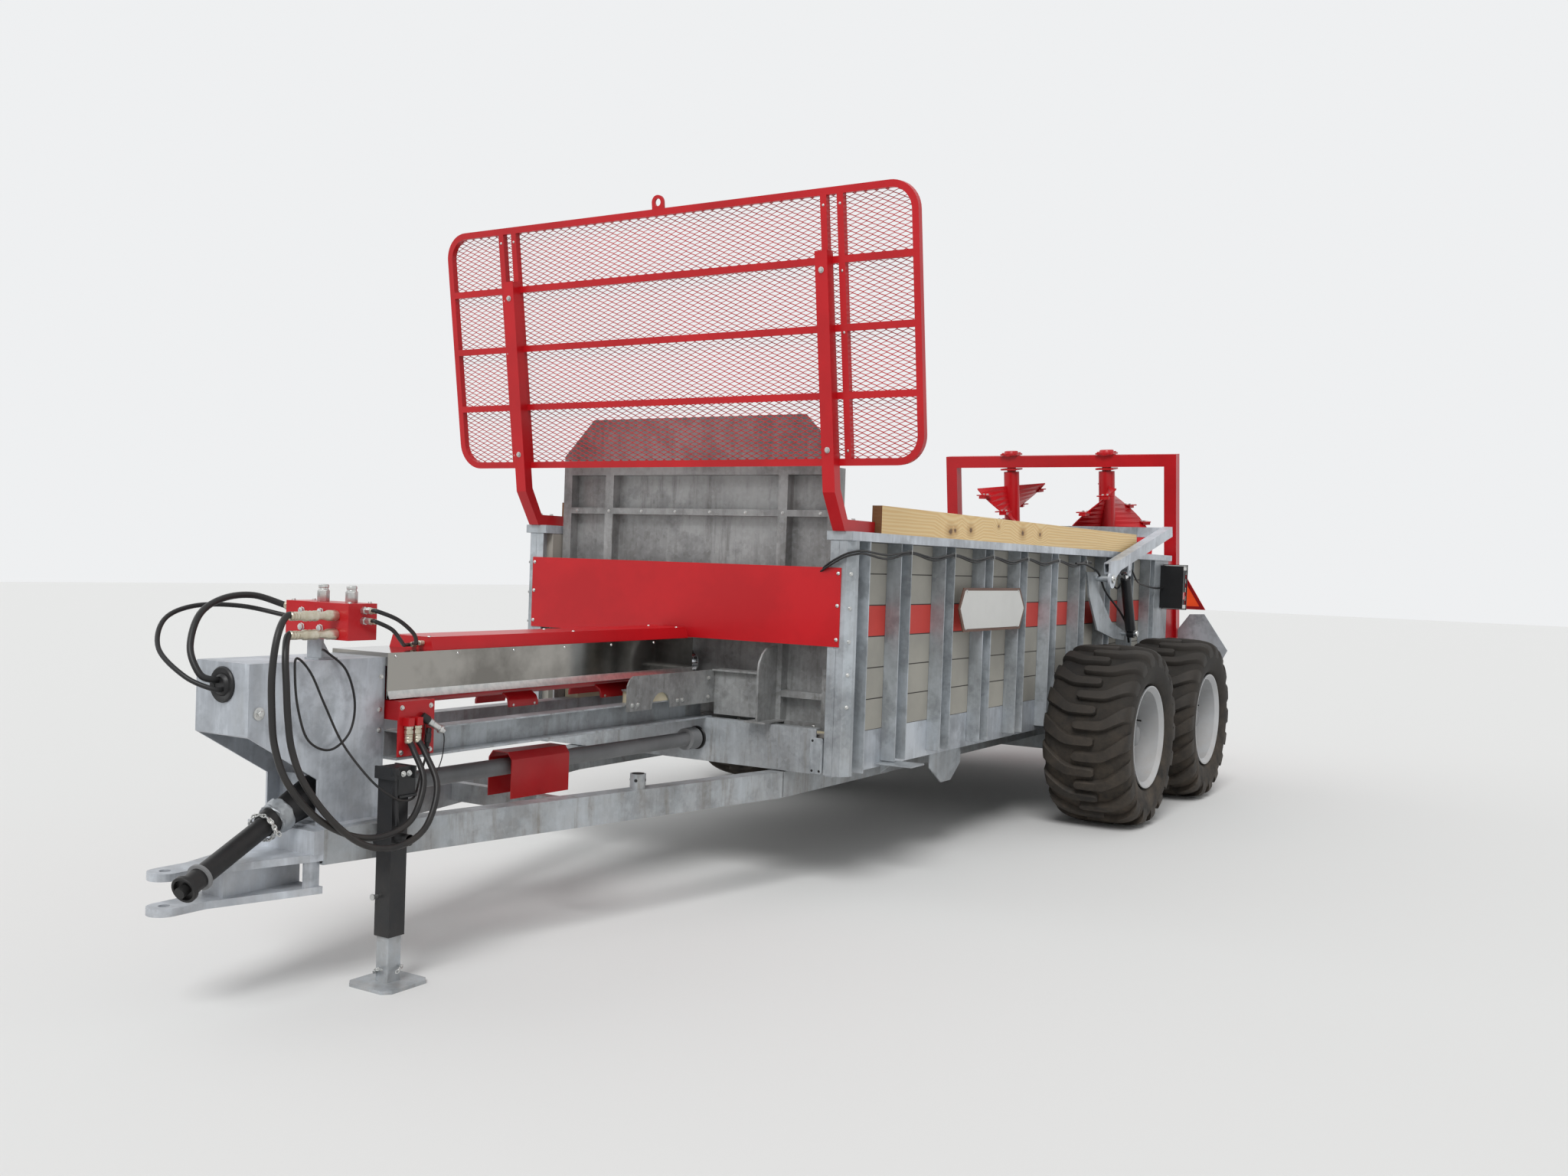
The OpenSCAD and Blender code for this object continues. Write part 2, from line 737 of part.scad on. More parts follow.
module guard_mesh() {
  color("firebrick") guard_place() {
    plate_y(guard_bar, guard_bar + 2) mesh_layer(1);
    plate_y(guard_bar + 2.3, guard_bar + 4.3) mesh_layer(-1);
  }
}

// Places a shape in the leaning plane of the beaters, its origin at the upper beam's middle
module beater_place() {
  translate([0, beater_y, beater_top - frame_tube / 2]) rotate([rake, 0, 0]) children();
}
beater_len = (beater_top - floor_z) / cos(rake);

module beater_frame() {
  ft = frame_tube / 2;
  color("firebrick") beater_place() {
    difference() {
      union() {
        block([-frame_x - ft, -ft, -ft], [frame_x + ft, ft, ft]);
        both() block([frame_x - ft, -ft, -beater_len - 60], [frame_x + ft, ft, ft]);
      }
      for (s = [-1, 1]) translate([s * beater_x, 0, -ft - 1]) cylinder(r = 36, h = frame_tube + 2);
    }
    for (s = [-1, 1]) translate([s * beater_x, 0, ft - 2]) difference() {
      cylinder(r = 70, h = 16);
      translate([0, 0, -1]) cylinder(r = 36, h = 20);
    }
  }
  color("firebrick") difference() {
    beater_place() difference() {
      block([-frame_x + ft - 2, -70, -beater_len - 60], [frame_x - ft + 2, 90, -beater_len + 30]);
      for (s = [-1, 1]) translate([s * beater_x, 0, -beater_len - 30]) cylinder(r = 36, h = 100);
    }
    rod_y(beater_y, drive_end + 0.3, drive_x, drive_z, 30.3);
  }
  color("firebrick") both() difference() {
    union() {
      plate_x(rear_post_x - 6, rear_post_x)
        polygon([[box_len, 640], [box_len, board_top], [post_front(board_top), board_top],
          [post_front(640), 640]]);
      block([wall_x, box_len, 640], [rear_post_x, box_len + 6, board_top]);
    }
  }
}

// Front face of the leaning beater posts at a height
function post_front(z) = beater_y - frame_tube / 2 / cos(rake) + (beater_top - frame_tube / 2 - z)
  * tan(rake);

// A screw flight: a thick ribbon that winds round the tube
function flight_points(r0, r1, z0, z1, a0, a1, n, t) = [
  for (i = [0:n]) let (f = i / n, a = a0 + (a1 - a0) * f, z = z0 + (z1 - z0) * f)
    for (c = [[r0, 0], [r1, 0], [r1, t], [r0, t]]) [c[0] * cos(a), c[0] * sin(a), z + c[1]]];

function flight_faces(n) = concat(
  [[2, 1, 0], [3, 2, 0]],
  [for (i = [0:n - 1]) for (c = [0:3]) let (a = 4 * i + c,
    b = 4 * i + (c + 1) % 4) each [[b + 4, a + 4, a], [b, b + 4, a]]],
  [[4 * n, 4 * n + 1, 4 * n + 2], [4 * n, 4 * n + 2, 4 * n + 3]]);

module flight(r0, r1, z0, z1, a0, a1, n, t) {
  polyhedron(points = flight_points(r0, r1, z0, z1, a0, a1, n, t), faces = flight_faces(n));
}

flight_r = beater_r - 40;
flight_turn = 300;
flight_z0 = -beater_len + 120;
flight_z1 = -200;
module beater(turn) {
  color("firebrick") {
    translate([0, 0, -beater_len + 60]) cylinder(r = beater_tube, h = beater_len - 140);
    translate([0, 0, -beater_len - 20]) cylinder(r = 35, h = 90);
    translate([0, 0, -90]) cylinder(r = 35, h = 170);
    for (s = [0, 180]) {
      flight(beater_tube - 6, flight_r, flight_z0, flight_z1, s, s + turn * flight_turn, 40, 10);
      for (k = [0:knives - 1]) let (f = (k + 0.5) / knives)
        rotate([0, 0, s + turn * flight_turn * f]) translate([flight_r - 25, -knife_w / 2,
          flight_z0 + (flight_z1 - flight_z0) * f - 4])
          cube([beater_r - flight_r + 22, knife_w, 20]);
    }
  }
}

module beater_left() {
  beater_place() translate([beater_x, 0, 0]) beater(1);
}

module beater_right() {
  beater_place() translate([-beater_x, 0, 0]) mirror([1, 0, 0]) beater(1);
}

// The fixed bracket with the gate's pivot and the cylinder's lower pin
cyl_low = [pivot_y + 565, pivot_z - 361];
cyl_top = [pivot_y + 385, pivot_z + 48];
module gate_brackets() {
  color("silver") both() {
    plate_x(post_x, post_x + 12) difference() {
      union() {
        polygon([[pivot_y - 180, pivot_z + 40], [pivot_y + 60, pivot_z + 40], [pivot_y + 60, pivot_z - 90],
          [pivot_y + 330, pivot_z - 280], [cyl_low[0] + 50, cyl_low[1] + 10],
            [cyl_low[0] + 50, cyl_low[1] - 50],
          [cyl_low[0] - 180, cyl_low[1] - 30], [pivot_y + 60, pivot_z - 330],
            [pivot_y - 120, pivot_z - 120]]);
      }
    }
    rod_x(post_x + 12, arm_x + arm_w + 14, pivot_y, pivot_z, 18);
    rod_x(post_x + 12, arm_x + arm_w + 2, cyl_low[0], cyl_low[1], 14);
  }
}

// Height of a gate arm's middle line at a place along the machine
function arm_z(y) = pivot_z + 69 + (y - pivot_y - 85) * tan(arm_slope);
arm_y0 = pivot_y + 65;
arm_y1 = box_len - 340;
module rear_gate_arms() {
  color("silver") {
    both() {
      translate([arm_x, arm_y0, arm_z(arm_y0)]) rotate([arm_slope, 0, 0])
        difference() {
          translate([0, 0, -arm_w / 2]) cube([arm_w, (arm_y1 - arm_y0) / cos(arm_slope), arm_w]);
          translate([wall, -1, -arm_w / 2 + wall]) cube([arm_w - 2 * wall, 3000, arm_w - 2 * wall]);
        }
      plate_x(arm_x + arm_w - 3, arm_x + arm_w + 10) difference() {
        union() {
          translate([pivot_y, pivot_z]) circle(r = 60);
          polygon([[pivot_y - 50, pivot_z], [pivot_y - 45, pivot_z + 110], [pivot_y + 160, pivot_z + 125],
            [pivot_y + 160, pivot_z + 55], [pivot_y + 50, pivot_z]]);
        }
        translate([pivot_y, pivot_z]) circle(r = 18.1);
      }
      for (x = [arm_x + 1, arm_x + arm_w - 9]) plate_x(x, x + 8) difference() {
        polygon([[cyl_top[0] - 40, arm_z(cyl_top[0] - 40) - arm_w / 2 + 2],
          [cyl_top[0] + 40, arm_z(cyl_top[0] + 40) - arm_w / 2 + 2],
          [cyl_top[0] + 25, cyl_top[1] - 25], [cyl_top[0] - 25, cyl_top[1] - 25]]);
        translate(cyl_top) circle(r = 12);
      }
    }
    difference() {
      block([-arm_x - 3, arm_y1 - arm_w, arm_z(arm_y1 - 40) - arm_w / 2],
        [arm_x + 3, arm_y1, arm_z(arm_y1 - 40) + arm_w / 2]);
      block([-arm_x - 1, arm_y1 - arm_w + wall, arm_z(arm_y1 - 40) - arm_w / 2 + wall],
        [arm_x + 1, arm_y1 - wall, arm_z(arm_y1 - 40) + arm_w / 2 - wall]);
    }
  }
}

// The panel hangs before the cross tube, its foot a little to the rear, with ribs on its rear face
panel_top = arm_z(arm_y1 - 40) + arm_w / 2;
panel_foot = floor_z + 10;
panel_y = arm_y1 - arm_w - 8;
panel_rake = 20;
rib_z0 = floor_z + 200;
function panel_at(z) = panel_y + panel_rake * (panel_top - z) / (panel_top - panel_foot);
module rear_gate_panel() {
  color("silver") {
    plate_x(-in_half + gate_gap, in_half - gate_gap)
      polygon([[panel_at(panel_foot), panel_foot], [panel_at(panel_foot) + 6, panel_foot],
        [panel_y + 6, panel_top], [panel_y, panel_top]]);
    for (x = [-600, -200, 200, 600]) plate_x(x - 25, x + 25)
      polygon([[panel_at(rib_z0) + 3, rib_z0], [panel_at(rib_z0 + 60) + 40, rib_z0 + 60],
        [panel_at(panel_top - arm_w - 4) + 40, panel_top - arm_w - 4],
          [panel_at(panel_top - arm_w - 4) + 3, panel_top - arm_w - 4]]);
    block([-in_half + gate_gap, panel_y + 3, panel_top - arm_w / 2 - 20],
      [in_half - gate_gap, arm_y1 - arm_w, panel_top - arm_w / 2 + 20]);
  }
}

cyl_len = norm(cyl_top - cyl_low);
cyl_tilt = atan2(cyl_top[1] - cyl_low[1], cyl_top[0] - cyl_low[0]);
module cylinder_place() {
  translate([arm_x + arm_w / 2, cyl_low[0], cyl_low[1]]) rotate([cyl_tilt - 90, 0, 0]) children();
}

module gate_barrel() {
  color("black") cylinder_place() difference() {
    union() {
      translate([0, 0, 30]) cylinder(r = 34, h = 370);
      rotate([0, 90, 0]) cylinder(r = 28, h = 44, center = true);
      translate([-20, -18, 0]) cube([40, 36, 34]);
    }
    rotate([0, 90, 0]) cylinder(r = 14.1, h = 50, center = true);
    translate([0, 0, 46]) cylinder(r = 20.2, h = 400);
  }
}

module gate_rod() {
  color("lightgray") cylinder_place() difference() {
    union() {
      translate([0, 0, 60]) cylinder(r = 20, h = cyl_len - 75);
      translate([-20, 0, cyl_len]) rotate([0, 90, 0]) cylinder(r = 24, h = 40);
    }
    translate([0, 0, cyl_len]) rotate([0, 90, 0]) cylinder(r = 12.1, h = 50, center = true);
  }
}

lamp_y = box_len - 120;
lamp_z = 1235;
module tail_lamps() {
  color("black") both() {
    block([rear_post_x, lamp_y - 70, lamp_z], [rear_post_x + 165, lamp_y + 2, lamp_z + 305]);
    difference() {
      block([rear_post_x, lamp_y, lamp_z - 10], [rear_post_x + 175, lamp_y + 8, lamp_z + 315]);
      for (z = [10, 115, 220]) block([rear_post_x + 20, lamp_y + 4, lamp_z + z],
        [rear_post_x + 145, lamp_y + 9, lamp_z + z + 85]);
    }
  }
}

sign_w = 350;
sign_x = beater_x + beater_r + 8;
sign_z = -1120;
module slow_triangle() {
  color("orangered") beater_place() plate_y(frame_tube / 2, frame_tube / 2 + 3)
    polygon([[sign_x, sign_z], [sign_x + sign_w, sign_z], [sign_x + sign_w / 2, sign_z + sign_w * 0.866]]);
}

module deflectors() {
  edge = frame_x + frame_tube / 2;
  color("silver") both() beater_place() plate_y(-3, 3)
    polygon([[edge, -1330], [edge, -1270], [1015, -1150], [1123, -1145], [1292, -1410], [1251, -1490],
      [1000, -1380]]);
}

// The valve block on its bracket, with the fittings that the hoses come out of
valve_y = -ped_y - 243;
valve_x = [-20, 280];
valve_z = [1170, 1290];
coupler_x = 225;
coupler_z = [1190, 1250];
coupler_len = 152;
end_z = [1234, 1268];
module valve_block() {
  color("firebrick") {
    block([valve_x[0], valve_y - 60, valve_z[0]], [valve_x[1], valve_y + 60, valve_z[1]]);
    block([40, valve_y - 20, ped_top], [110, valve_y - 10, valve_z[0] + 2]);
    for (x = [90, 225]) translate([x, valve_y, valve_z[1] - 2]) cylinder(r = 17, h = 58);
    for (z = coupler_z) {
      rod_y(valve_y - 60 - coupler_len, valve_y - 58, coupler_x, z, 13);
      rod_y(valve_y - 60 - coupler_len * 0.7, valve_y - 60 - coupler_len * 0.35, coupler_x, z, 17);
    }
    for (z = end_z) {
      rod_x(valve_x[0] - 40, valve_x[0] + 2, valve_y, z, 12);
      rod_x(valve_x[1] - 2, valve_x[1] + 40, valve_y, z, 12);
    }
  }
}

// A smooth curve through a route's points, with a number of rings between two points
function on_curve(p, i, t) = let (a = p[max(i - 1, 0)], b = p[i], c = p[i + 1], d = p[min(i + 2, len(p) - 1)])
  0.5 * (2 * b + (c - a) * t + (2 * a - 5 * b + 4 * c - d) * t * t + (3 * b - a - 3 * c + d) * t * t * t);
function curve(p, n) = concat([for (i = [0:len(p) - 2]) for (k = [0:n - 1]) on_curve(p, i, k / n)],
  [p[len(p) - 1]]);
function unit(v) = v / norm(v);
// Directions along a curve, square to its first and last stretch at the two ends
function heading(c, p) = [for (i = [0:len(c) - 1]) i == 0 ? unit(p[1] - p[0]) : i == len(c) - 1
  ? unit(p[len(p) - 1] - p[len(p) - 2])
  : unit(unit(c[i + 1] - c[i]) + unit(c[i] - c[i - 1]))];
function sides(t, u, i, out) = i == len(t) ? out : let (w = unit(u - t[i] * (u * t[i])))
  sides(t, w, i + 1, concat(out, [w]));

// A hose along a route, with eight sides
module hose(route, r, n, start) {
  c = curve(route, n);
  t = heading(c, route);
  u = sides(t, start, 0, []);
  last = len(c) - 1;
  translate([0, -ped_y, 0]) polyhedron(
    points = [for (i = [0:last]) for (k = [0:7]) c[i] + r
      * (cos(k * 45) * u[i] + sin(k * 45) * cross(t[i], u[i]))],
    faces = concat([[for (k = [7:-1:0]) k]], [[for (k = [0:7]) last * 8 + k]],
      [for (i = [0:last - 1]) for (k = [0:7]) let (a = i * 8 + k,
        b = i * 8 + (k + 1) % 8) each [[a, b, b + 8], [a, b + 8, a + 8]]]));
}

bogie_z = tyre_r - 157;
// The cross beam with its pivots, and the two walking beams with the axles
module walking_beams() {
  color("silver") {
    block([-wall_x, bogie_y - 55, bogie_z - 55], [wall_x, bogie_y + 55, beam_z]);
    both() rod_x(wall_x - 10, post_x + 16, bogie_y, bogie_z, 45);
  }
  color("silver") both() {
    difference() {
      plate_x(wall_x + 5, post_x + 3) polygon([[axle_y[0] - 80, tyre_r - 96],
        [axle_y[0] - 80, tyre_r + 14], [axle_y[0] + 120, tyre_r + 14],
        [bogie_y, tyre_r - 56], [axle_y[1] - 120, tyre_r + 14], [axle_y[1] + 80, tyre_r + 14],
          [axle_y[1] + 80, tyre_r - 96],
        [bogie_y + 80, bogie_z - 69], [bogie_y - 80, bogie_z - 69]]);
      rod_x(wall_x, post_x + 10, bogie_y, bogie_z, 45.1);
    }
    for (y = axle_y) {
      rod_x(post_x + 3, post_x + 15, y, tyre_r, 60);
      rod_x(post_x + 15, track_x - 20, y, tyre_r, 38);
    }
  }
}

// Half section of a tyre: radius across, width up
module tyre_section() {
  h = tyre_w / 2;
  r1 = tyre_r - lug_h;
  polygon([[rim_r - 6, -h + 50], [rim_r + 20, -h + 22], [rim_r + 90, -h], [r1 - 60, -h + 4],
    [r1 - 14, -h + 34], [r1, -h + 80],
    [r1 + 4, 0], [r1, h - 80], [r1 - 14, h - 34], [r1 - 60, h - 4], [rim_r + 90, h], [rim_r + 20, h - 22],
      [rim_r - 6, h - 50],
    [rim_r - 24, h - 60], [rim_r - 24, -h + 60]]);
}

// One lug from near the middle of the tread to its shoulder
module lug() {
  rotate([0, 90, 0]) translate([0, 0, tyre_r - lug_h - 12]) linear_extrude(height = lug_h + 12)
    polygon([[-15, -20], [-15, 26], [60, 62], [232, 100], [238, 60], [232, 46], [75, 12]]);
}

module tyre() {
  color("black") {
    rotate_extrude($fn = 96) tyre_section();
    intersection() {
      cylinder(r = tyre_r, h = tyre_w + 2, center = true, $fn = 96);
      for (k = [0:lugs - 1]) {
        rotate([0, 0, k * 360 / lugs]) lug();
        rotate([0, 0, (k + 0.5) * 360 / lugs]) mirror([0, 0, 1]) lug();
      }
    }
  }
}

// Section of the rim, its disc and its hub, with the outer side at positive height
module rim_section() {
  h = tyre_w / 2;
  bead = rim_r - 24;
  polygon([[rim_r, -h + 22], [rim_r, -h + 30], [bead, -h + 50], [bead, h - 50], [rim_r, h - 30],
    [rim_r, h - 22],
    [rim_r - 8, h - 22], [bead - 10, h - 44], [bead - 10, 50], [150, 78], [92, 78], [92, 128], [44, 128],
      [44, 134], [0, 134],
    [0, 120], [38.1, 120], [38.1, -100], [80, -100], [80, 66], [146, 66], [bead - 14, 34],
      [bead - 10, -h + 46], [rim_r - 8, -h + 22]]);
}

module rim() {
  color("whitesmoke") difference() {
    rotate_extrude($fn = 96) rim_section();
    for (k = [0:9]) rotate([0, 0, k * 36]) translate([120, 0, 60]) cylinder(r = 10, h = 30);
  }
}

module wheel_place(side, n) {
  translate([side * track_x, axle_y[n], tyre_r]) rotate([0, side * 90, 0]) children();
}

// The plastic blocks on which the push gate slides
module gate_shoes() {
  w = in_half - gate_gap;
  color("wheat") {
    for (x = [-w, -60, w - 120]) block([x, gate_y, floor_z + 0.3], [x + 120, gate_y + gate_d, floor_z + 10]);
    both() block([slide_x - 35, -590, slide_z + 100.3], [slide_x + 35, -260, slide_z + 150]);
  }
}

// The push gate: a stiffened sheet across the box, its top part on the front of its frame, and the
// side plates that run on the slide rails
gate_step = 1900;
module gate_outline() {
  w = in_half - gate_gap;
  polygon([[-w, floor_z + 10], [w, floor_z + 10], [w, gate_top - gate_chamfer], [w - gate_chamfer, gate_top],
    [-w + gate_chamfer, gate_top], [-w, gate_top - gate_chamfer]]);
}

module push_gate() {
  w = in_half - gate_gap;
  x0 = slide_x + 35;
  z0 = slide_z + 70;
  color("silver") {
    plate_y(gate_y + gate_d - 6, gate_y + gate_d) intersection() {
      gate_outline();
      translate([-in_half, 0]) square([2 * in_half, gate_step]);
    }
    plate_y(gate_y, gate_y + 6) intersection() {
      gate_outline();
      translate([-in_half, gate_step - 30]) square([2 * in_half, gate_top]);
    }
    for (x = [-w, -525, 475, w - 50])
      block([x, gate_y, floor_z + 10], [x + 50, gate_y + gate_d - 3, gate_step]);
    for (z = [floor_z + 10, 860, 1680, gate_step - 30])
      block([-w, gate_y, z], [w, gate_y + gate_d - 3, z + 30]);
    both() {
      plate_x(x0 + 3, x0 + 11) difference() {
        polygon([[-660, z0], [-660, z0 + 110], [-645, z0 + 135], [-620, z0 + 150],
          [gate_y + 10, z0 + 150], [gate_y + 10, z0]]);
        translate([-420, z0]) circle(r = 70);
      }
      difference() {
        block([slide_x - 35, -600, slide_z + 150], [x0 + 11, gate_y + 10, slide_z + 158]);
        translate([slide_x - 12, -520, slide_z + 140]) cube([24, 90, 30]);
      }
    }
  }
}

translate([0, -origin_y, 0]) {
  tongue_frame();
  tongue_nose();
  pedestal();
  jack_tube();
  jack_leg();
  pto_shield();
  driveline();
  driveline_shield();
  cylinder_cover();
  cover_ridge();
  push_barrel();
  front_beam();
  corner_posts();
  front_board();
  floor_sheet();  // floor
  main_rails();
  cross_members();
  side_boards();
  stripe_boards();
  side_posts();
  top_rails();
  side_sills();
  planks();
  guard_frame();
  guard_mesh();
  beater_frame();
  gate_brackets();
  tail_lamps();
  slow_triangle();
  deflectors();
  valve_block();
  walking_beams();
  color("black") hose(upper_route, 11, 2, [1, 0, 0]);  // hose_upper
  color("black") hose(lower_route, 11, 2, [1, 0, 0]);  // hose_lower
  color("black") hose(grommet_route, 11, 2, [0, 0, 1]);  // hose_grommet
  color("black") hose(line_route, 8, 2, [0, 0, 1]);  // line_grommet
  color("black") hose(outer_route, 7, 2, [0, 0, 1]);  // line_ridge_outer
  color("black") hose(inner_route, 7, 2, [0, 0, 1]);  // line_ridge_inner
  color("black") hose(cable_route, 4, 2, [0, 0, 1]);  // lamp_cable
  wheel_place(1, 0) tyre();  // tyre_left_front
  wheel_place(1, 1) tyre();  // tyre_left_rear
  wheel_place(-1, 0) tyre();  // tyre_right_front
  wheel_place(-1, 1) tyre();  // tyre_right_rear
  wheel_place(1, 0) rim();  // rim_left_front
  wheel_place(1, 1) rim();  // rim_left_rear
  wheel_place(-1, 0) rim();  // rim_right_front
  wheel_place(-1, 1) rim();  // rim_right_rear
  beater_left();
  beater_right();
  push_gate();
  gate_shoes();
  push_rod();
  push_stage_1();
  push_stage_2();
  rear_gate_arms();
  rear_gate_panel();
  gate_barrel();  // gate_barrel_left
  mirror([1, 0, 0]) gate_barrel();  // gate_barrel_right
  gate_rod();  // gate_rod_left
  mirror([1, 0, 0]) gate_rod();  // gate_rod_right
}
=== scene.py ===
# A manure spreader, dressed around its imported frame. The frame's axes: +X is the machine's left,
# +Y its rear, +Z up, and the ground is z = 0. Added pieces are given in millimetres, with places
# along the machine measured from the front of the load box, and become metres in piece().
import json
import math

import bmesh
import bpy
from mathutils import Matrix, Vector


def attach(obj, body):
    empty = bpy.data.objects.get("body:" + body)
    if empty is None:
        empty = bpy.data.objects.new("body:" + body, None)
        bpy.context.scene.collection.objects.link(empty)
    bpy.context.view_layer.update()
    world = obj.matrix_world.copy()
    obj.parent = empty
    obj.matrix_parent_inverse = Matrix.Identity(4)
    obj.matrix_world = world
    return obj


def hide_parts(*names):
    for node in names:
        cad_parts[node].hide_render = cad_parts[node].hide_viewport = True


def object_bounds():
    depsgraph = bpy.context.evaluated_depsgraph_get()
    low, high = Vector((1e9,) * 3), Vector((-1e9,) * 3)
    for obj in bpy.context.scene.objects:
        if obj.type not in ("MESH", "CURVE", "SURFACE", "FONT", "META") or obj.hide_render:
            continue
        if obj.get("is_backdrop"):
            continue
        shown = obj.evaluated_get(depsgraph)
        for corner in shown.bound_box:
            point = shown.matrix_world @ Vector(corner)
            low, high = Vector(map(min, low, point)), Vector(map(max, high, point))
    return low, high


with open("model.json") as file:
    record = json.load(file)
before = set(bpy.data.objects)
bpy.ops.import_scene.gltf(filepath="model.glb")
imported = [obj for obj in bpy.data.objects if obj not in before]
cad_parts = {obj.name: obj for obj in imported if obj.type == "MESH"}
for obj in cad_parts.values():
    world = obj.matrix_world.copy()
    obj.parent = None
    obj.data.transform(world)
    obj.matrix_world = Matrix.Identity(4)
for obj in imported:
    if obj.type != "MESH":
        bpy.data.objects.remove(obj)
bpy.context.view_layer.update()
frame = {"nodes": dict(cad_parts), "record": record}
CAD = frame["nodes"]
BOX_FRONT = -1.340


# The camera stands where the photographer stood: ahead of the machine, out to its left, at the
# height of an eye, with a slight roll.
def in_scene(name, data):
    """A new object in the scene."""
    made = bpy.data.objects.new(name, data)
    bpy.context.scene.collection.objects.link(made)
    return made


CAMERA_AT = (3.793, BOX_FRONT - 5.337, 1.473)
CAMERA_AZIMUTH, CAMERA_PITCH, CAMERA_ROLL = math.radians(31.212), math.radians(-1.075), math.radians(1.963)
FOCAL_PIXELS, FRAME_PIXELS, SENSOR_WIDTH = 1813.3, 2048, 36.0
camera_data = bpy.data.cameras.new("camera")
camera_data.sensor_width = SENSOR_WIDTH
camera_data.lens = FOCAL_PIXELS * SENSOR_WIDTH / FRAME_PIXELS
camera_data.clip_end = 200.0
camera = in_scene("camera", camera_data)
back = Vector((math.sin(CAMERA_AZIMUTH) * math.cos(CAMERA_PITCH),
               -math.cos(CAMERA_AZIMUTH) * math.cos(CAMERA_PITCH), -math.sin(CAMERA_PITCH)))
level = (-back).cross(Vector((0, 0, 1))).normalized()
above = level.cross(-back)
right = level * math.cos(CAMERA_ROLL) + above * math.sin(CAMERA_ROLL)
up = above * math.cos(CAMERA_ROLL) - level * math.sin(CAMERA_ROLL)
camera.matrix_world = Matrix.Translation(CAMERA_AT) @ Matrix((right, up, back)).transposed().to_4x4()
bpy.context.scene.camera = camera

# The place it stands on for the picture: a plain pale floor that fades into a pale surround,
# lit by soft daylight from all round and a broad lamp from the front left.
bpy.context.scene.view_settings.view_transform = "Standard"


def add(tree, kind, sockets=None, **settings):
    """Adds a shader node, sets its settings, and sets or links its inputs."""
    made = tree.nodes.new("ShaderNode" + kind)
    for name, value in settings.items():
        setattr(made, name, value)
    for name, value in (sockets or {}).items():
        if isinstance(value, bpy.types.NodeSocket):
            tree.links.new(value, made.inputs[name])
        else:
            made.inputs[name].default_value = value
    return made


def calc(tree, operation, *values, kind="Math"):
    """Arithmetic on values, or on places."""
    return add(tree, kind, dict(enumerate(values)), operation=operation).outputs[0]


def remap(tree, value, low=0.0, high=1.0, start=0.0, end=1.0):
    """A value carried over from between low and high to between start and end."""
    return add(tree, "MapRange", {"Value": value, "From Min": low, "From Max": high, "To Min": start,
                                  "To Max": end}).outputs[0]


PALE = (0.86, 0.87, 0.88, 1)
world = bpy.data.worlds.new("surround")
bpy.context.scene.world = world
world.use_nodes = True
tree = world.node_tree
tree.nodes.clear()
ray = add(tree, "LightPath").outputs
seen = calc(tree, "MAXIMUM", ray["Is Camera Ray"], ray["Is Glossy Ray"])
seen = calc(tree, "MAXIMUM", seen, ray["Is Transmission Ray"])
sky = add(tree, "Background", {"Color": PALE, "Strength": remap(tree, seen, start=0.62)})
tree.links.new(sky.outputs[0], add(tree, "OutputWorld").inputs["Surface"])

floor_mesh = bpy.data.meshes.new("floor")
floor_mesh.from_pydata([(-40, -35, 0), (40, -35, 0), (40, 55, 0), (-40, 55, 0)], [], [(0, 1, 2, 3)])
floor_paint = bpy.data.materials.new("floor_paint")
floor_paint.use_nodes = True
shader = floor_paint.node_tree.nodes["Principled BSDF"]
shader.inputs["Base Color"].default_value = (0.74, 0.74, 0.73, 1)
shader.inputs["Roughness"].default_value = 0.9
floor_mesh.materials.append(floor_paint)
in_scene("floor_stage", floor_mesh)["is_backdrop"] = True

for name, energy, angle, turn in (("key", 1.9, 25, (44, 0, 20)), ("fill", 0.5, 60, (60, 0, -75))):
    lamp = bpy.data.lights.new(name, "SUN")
    lamp.energy, lamp.angle = energy, math.radians(angle)
    in_scene(name, lamp).rotation_euler = [math.radians(a) for a in turn]


# Shader groups that several finishes share: a soft mottling, and road dust that settles low.
def group(name, **starts):
    """An empty shader group: its inputs with these first values, and its mask to be linked."""
    made = bpy.data.node_groups.new(name, "ShaderNodeTree")
    for key, start in starts.items():
        socket = made.interface.new_socket(key, in_out="INPUT", socket_type="NodeSocketFloat")
        socket.default_value = start
    made.interface.new_socket("Mask", in_out="OUTPUT", socket_type="NodeSocketFloat")
    takes, gives = made.nodes.new("NodeGroupInput"), made.nodes.new("NodeGroupOutput")
    return made, takes.outputs, gives.inputs["Mask"]


def here(tree):
    """The place on the object, in metres."""
    return add(tree, "TexCoord").outputs["Object"]


def noise(tree, place, scale, detail=2.0, rough=0.5):
    """Soft noise at a place."""
    return add(tree, "TexNoise", {"Vector": place, "Scale": scale, "Detail": detail,
                                  "Roughness": rough}).outputs["Fac"]


mottle, takes, mask = group("mottle", Scale=3.0, Low=0.0, High=1.0)
cloud = noise(mottle, here(mottle), takes["Scale"], 6.0, 0.62)
mottle.links.new(remap(mottle, cloud, 0.39, 0.61, takes["Low"], takes["High"]), mask)

dust, takes, mask = group("road_dust", Height=0.9, Amount=0.5)
place = here(dust)
height = add(dust, "SeparateXYZ", {0: place}).outputs["Z"]
low = remap(dust, height, takes["Height"], 0.0, 0.0, takes["Amount"])
patch = remap(dust, noise(dust, place, 9.0, 8.0, 0.7), 0.35, 0.75)
dust.links.new(calc(dust, "MULTIPLY", low, patch), mask)
FINISHES = {}


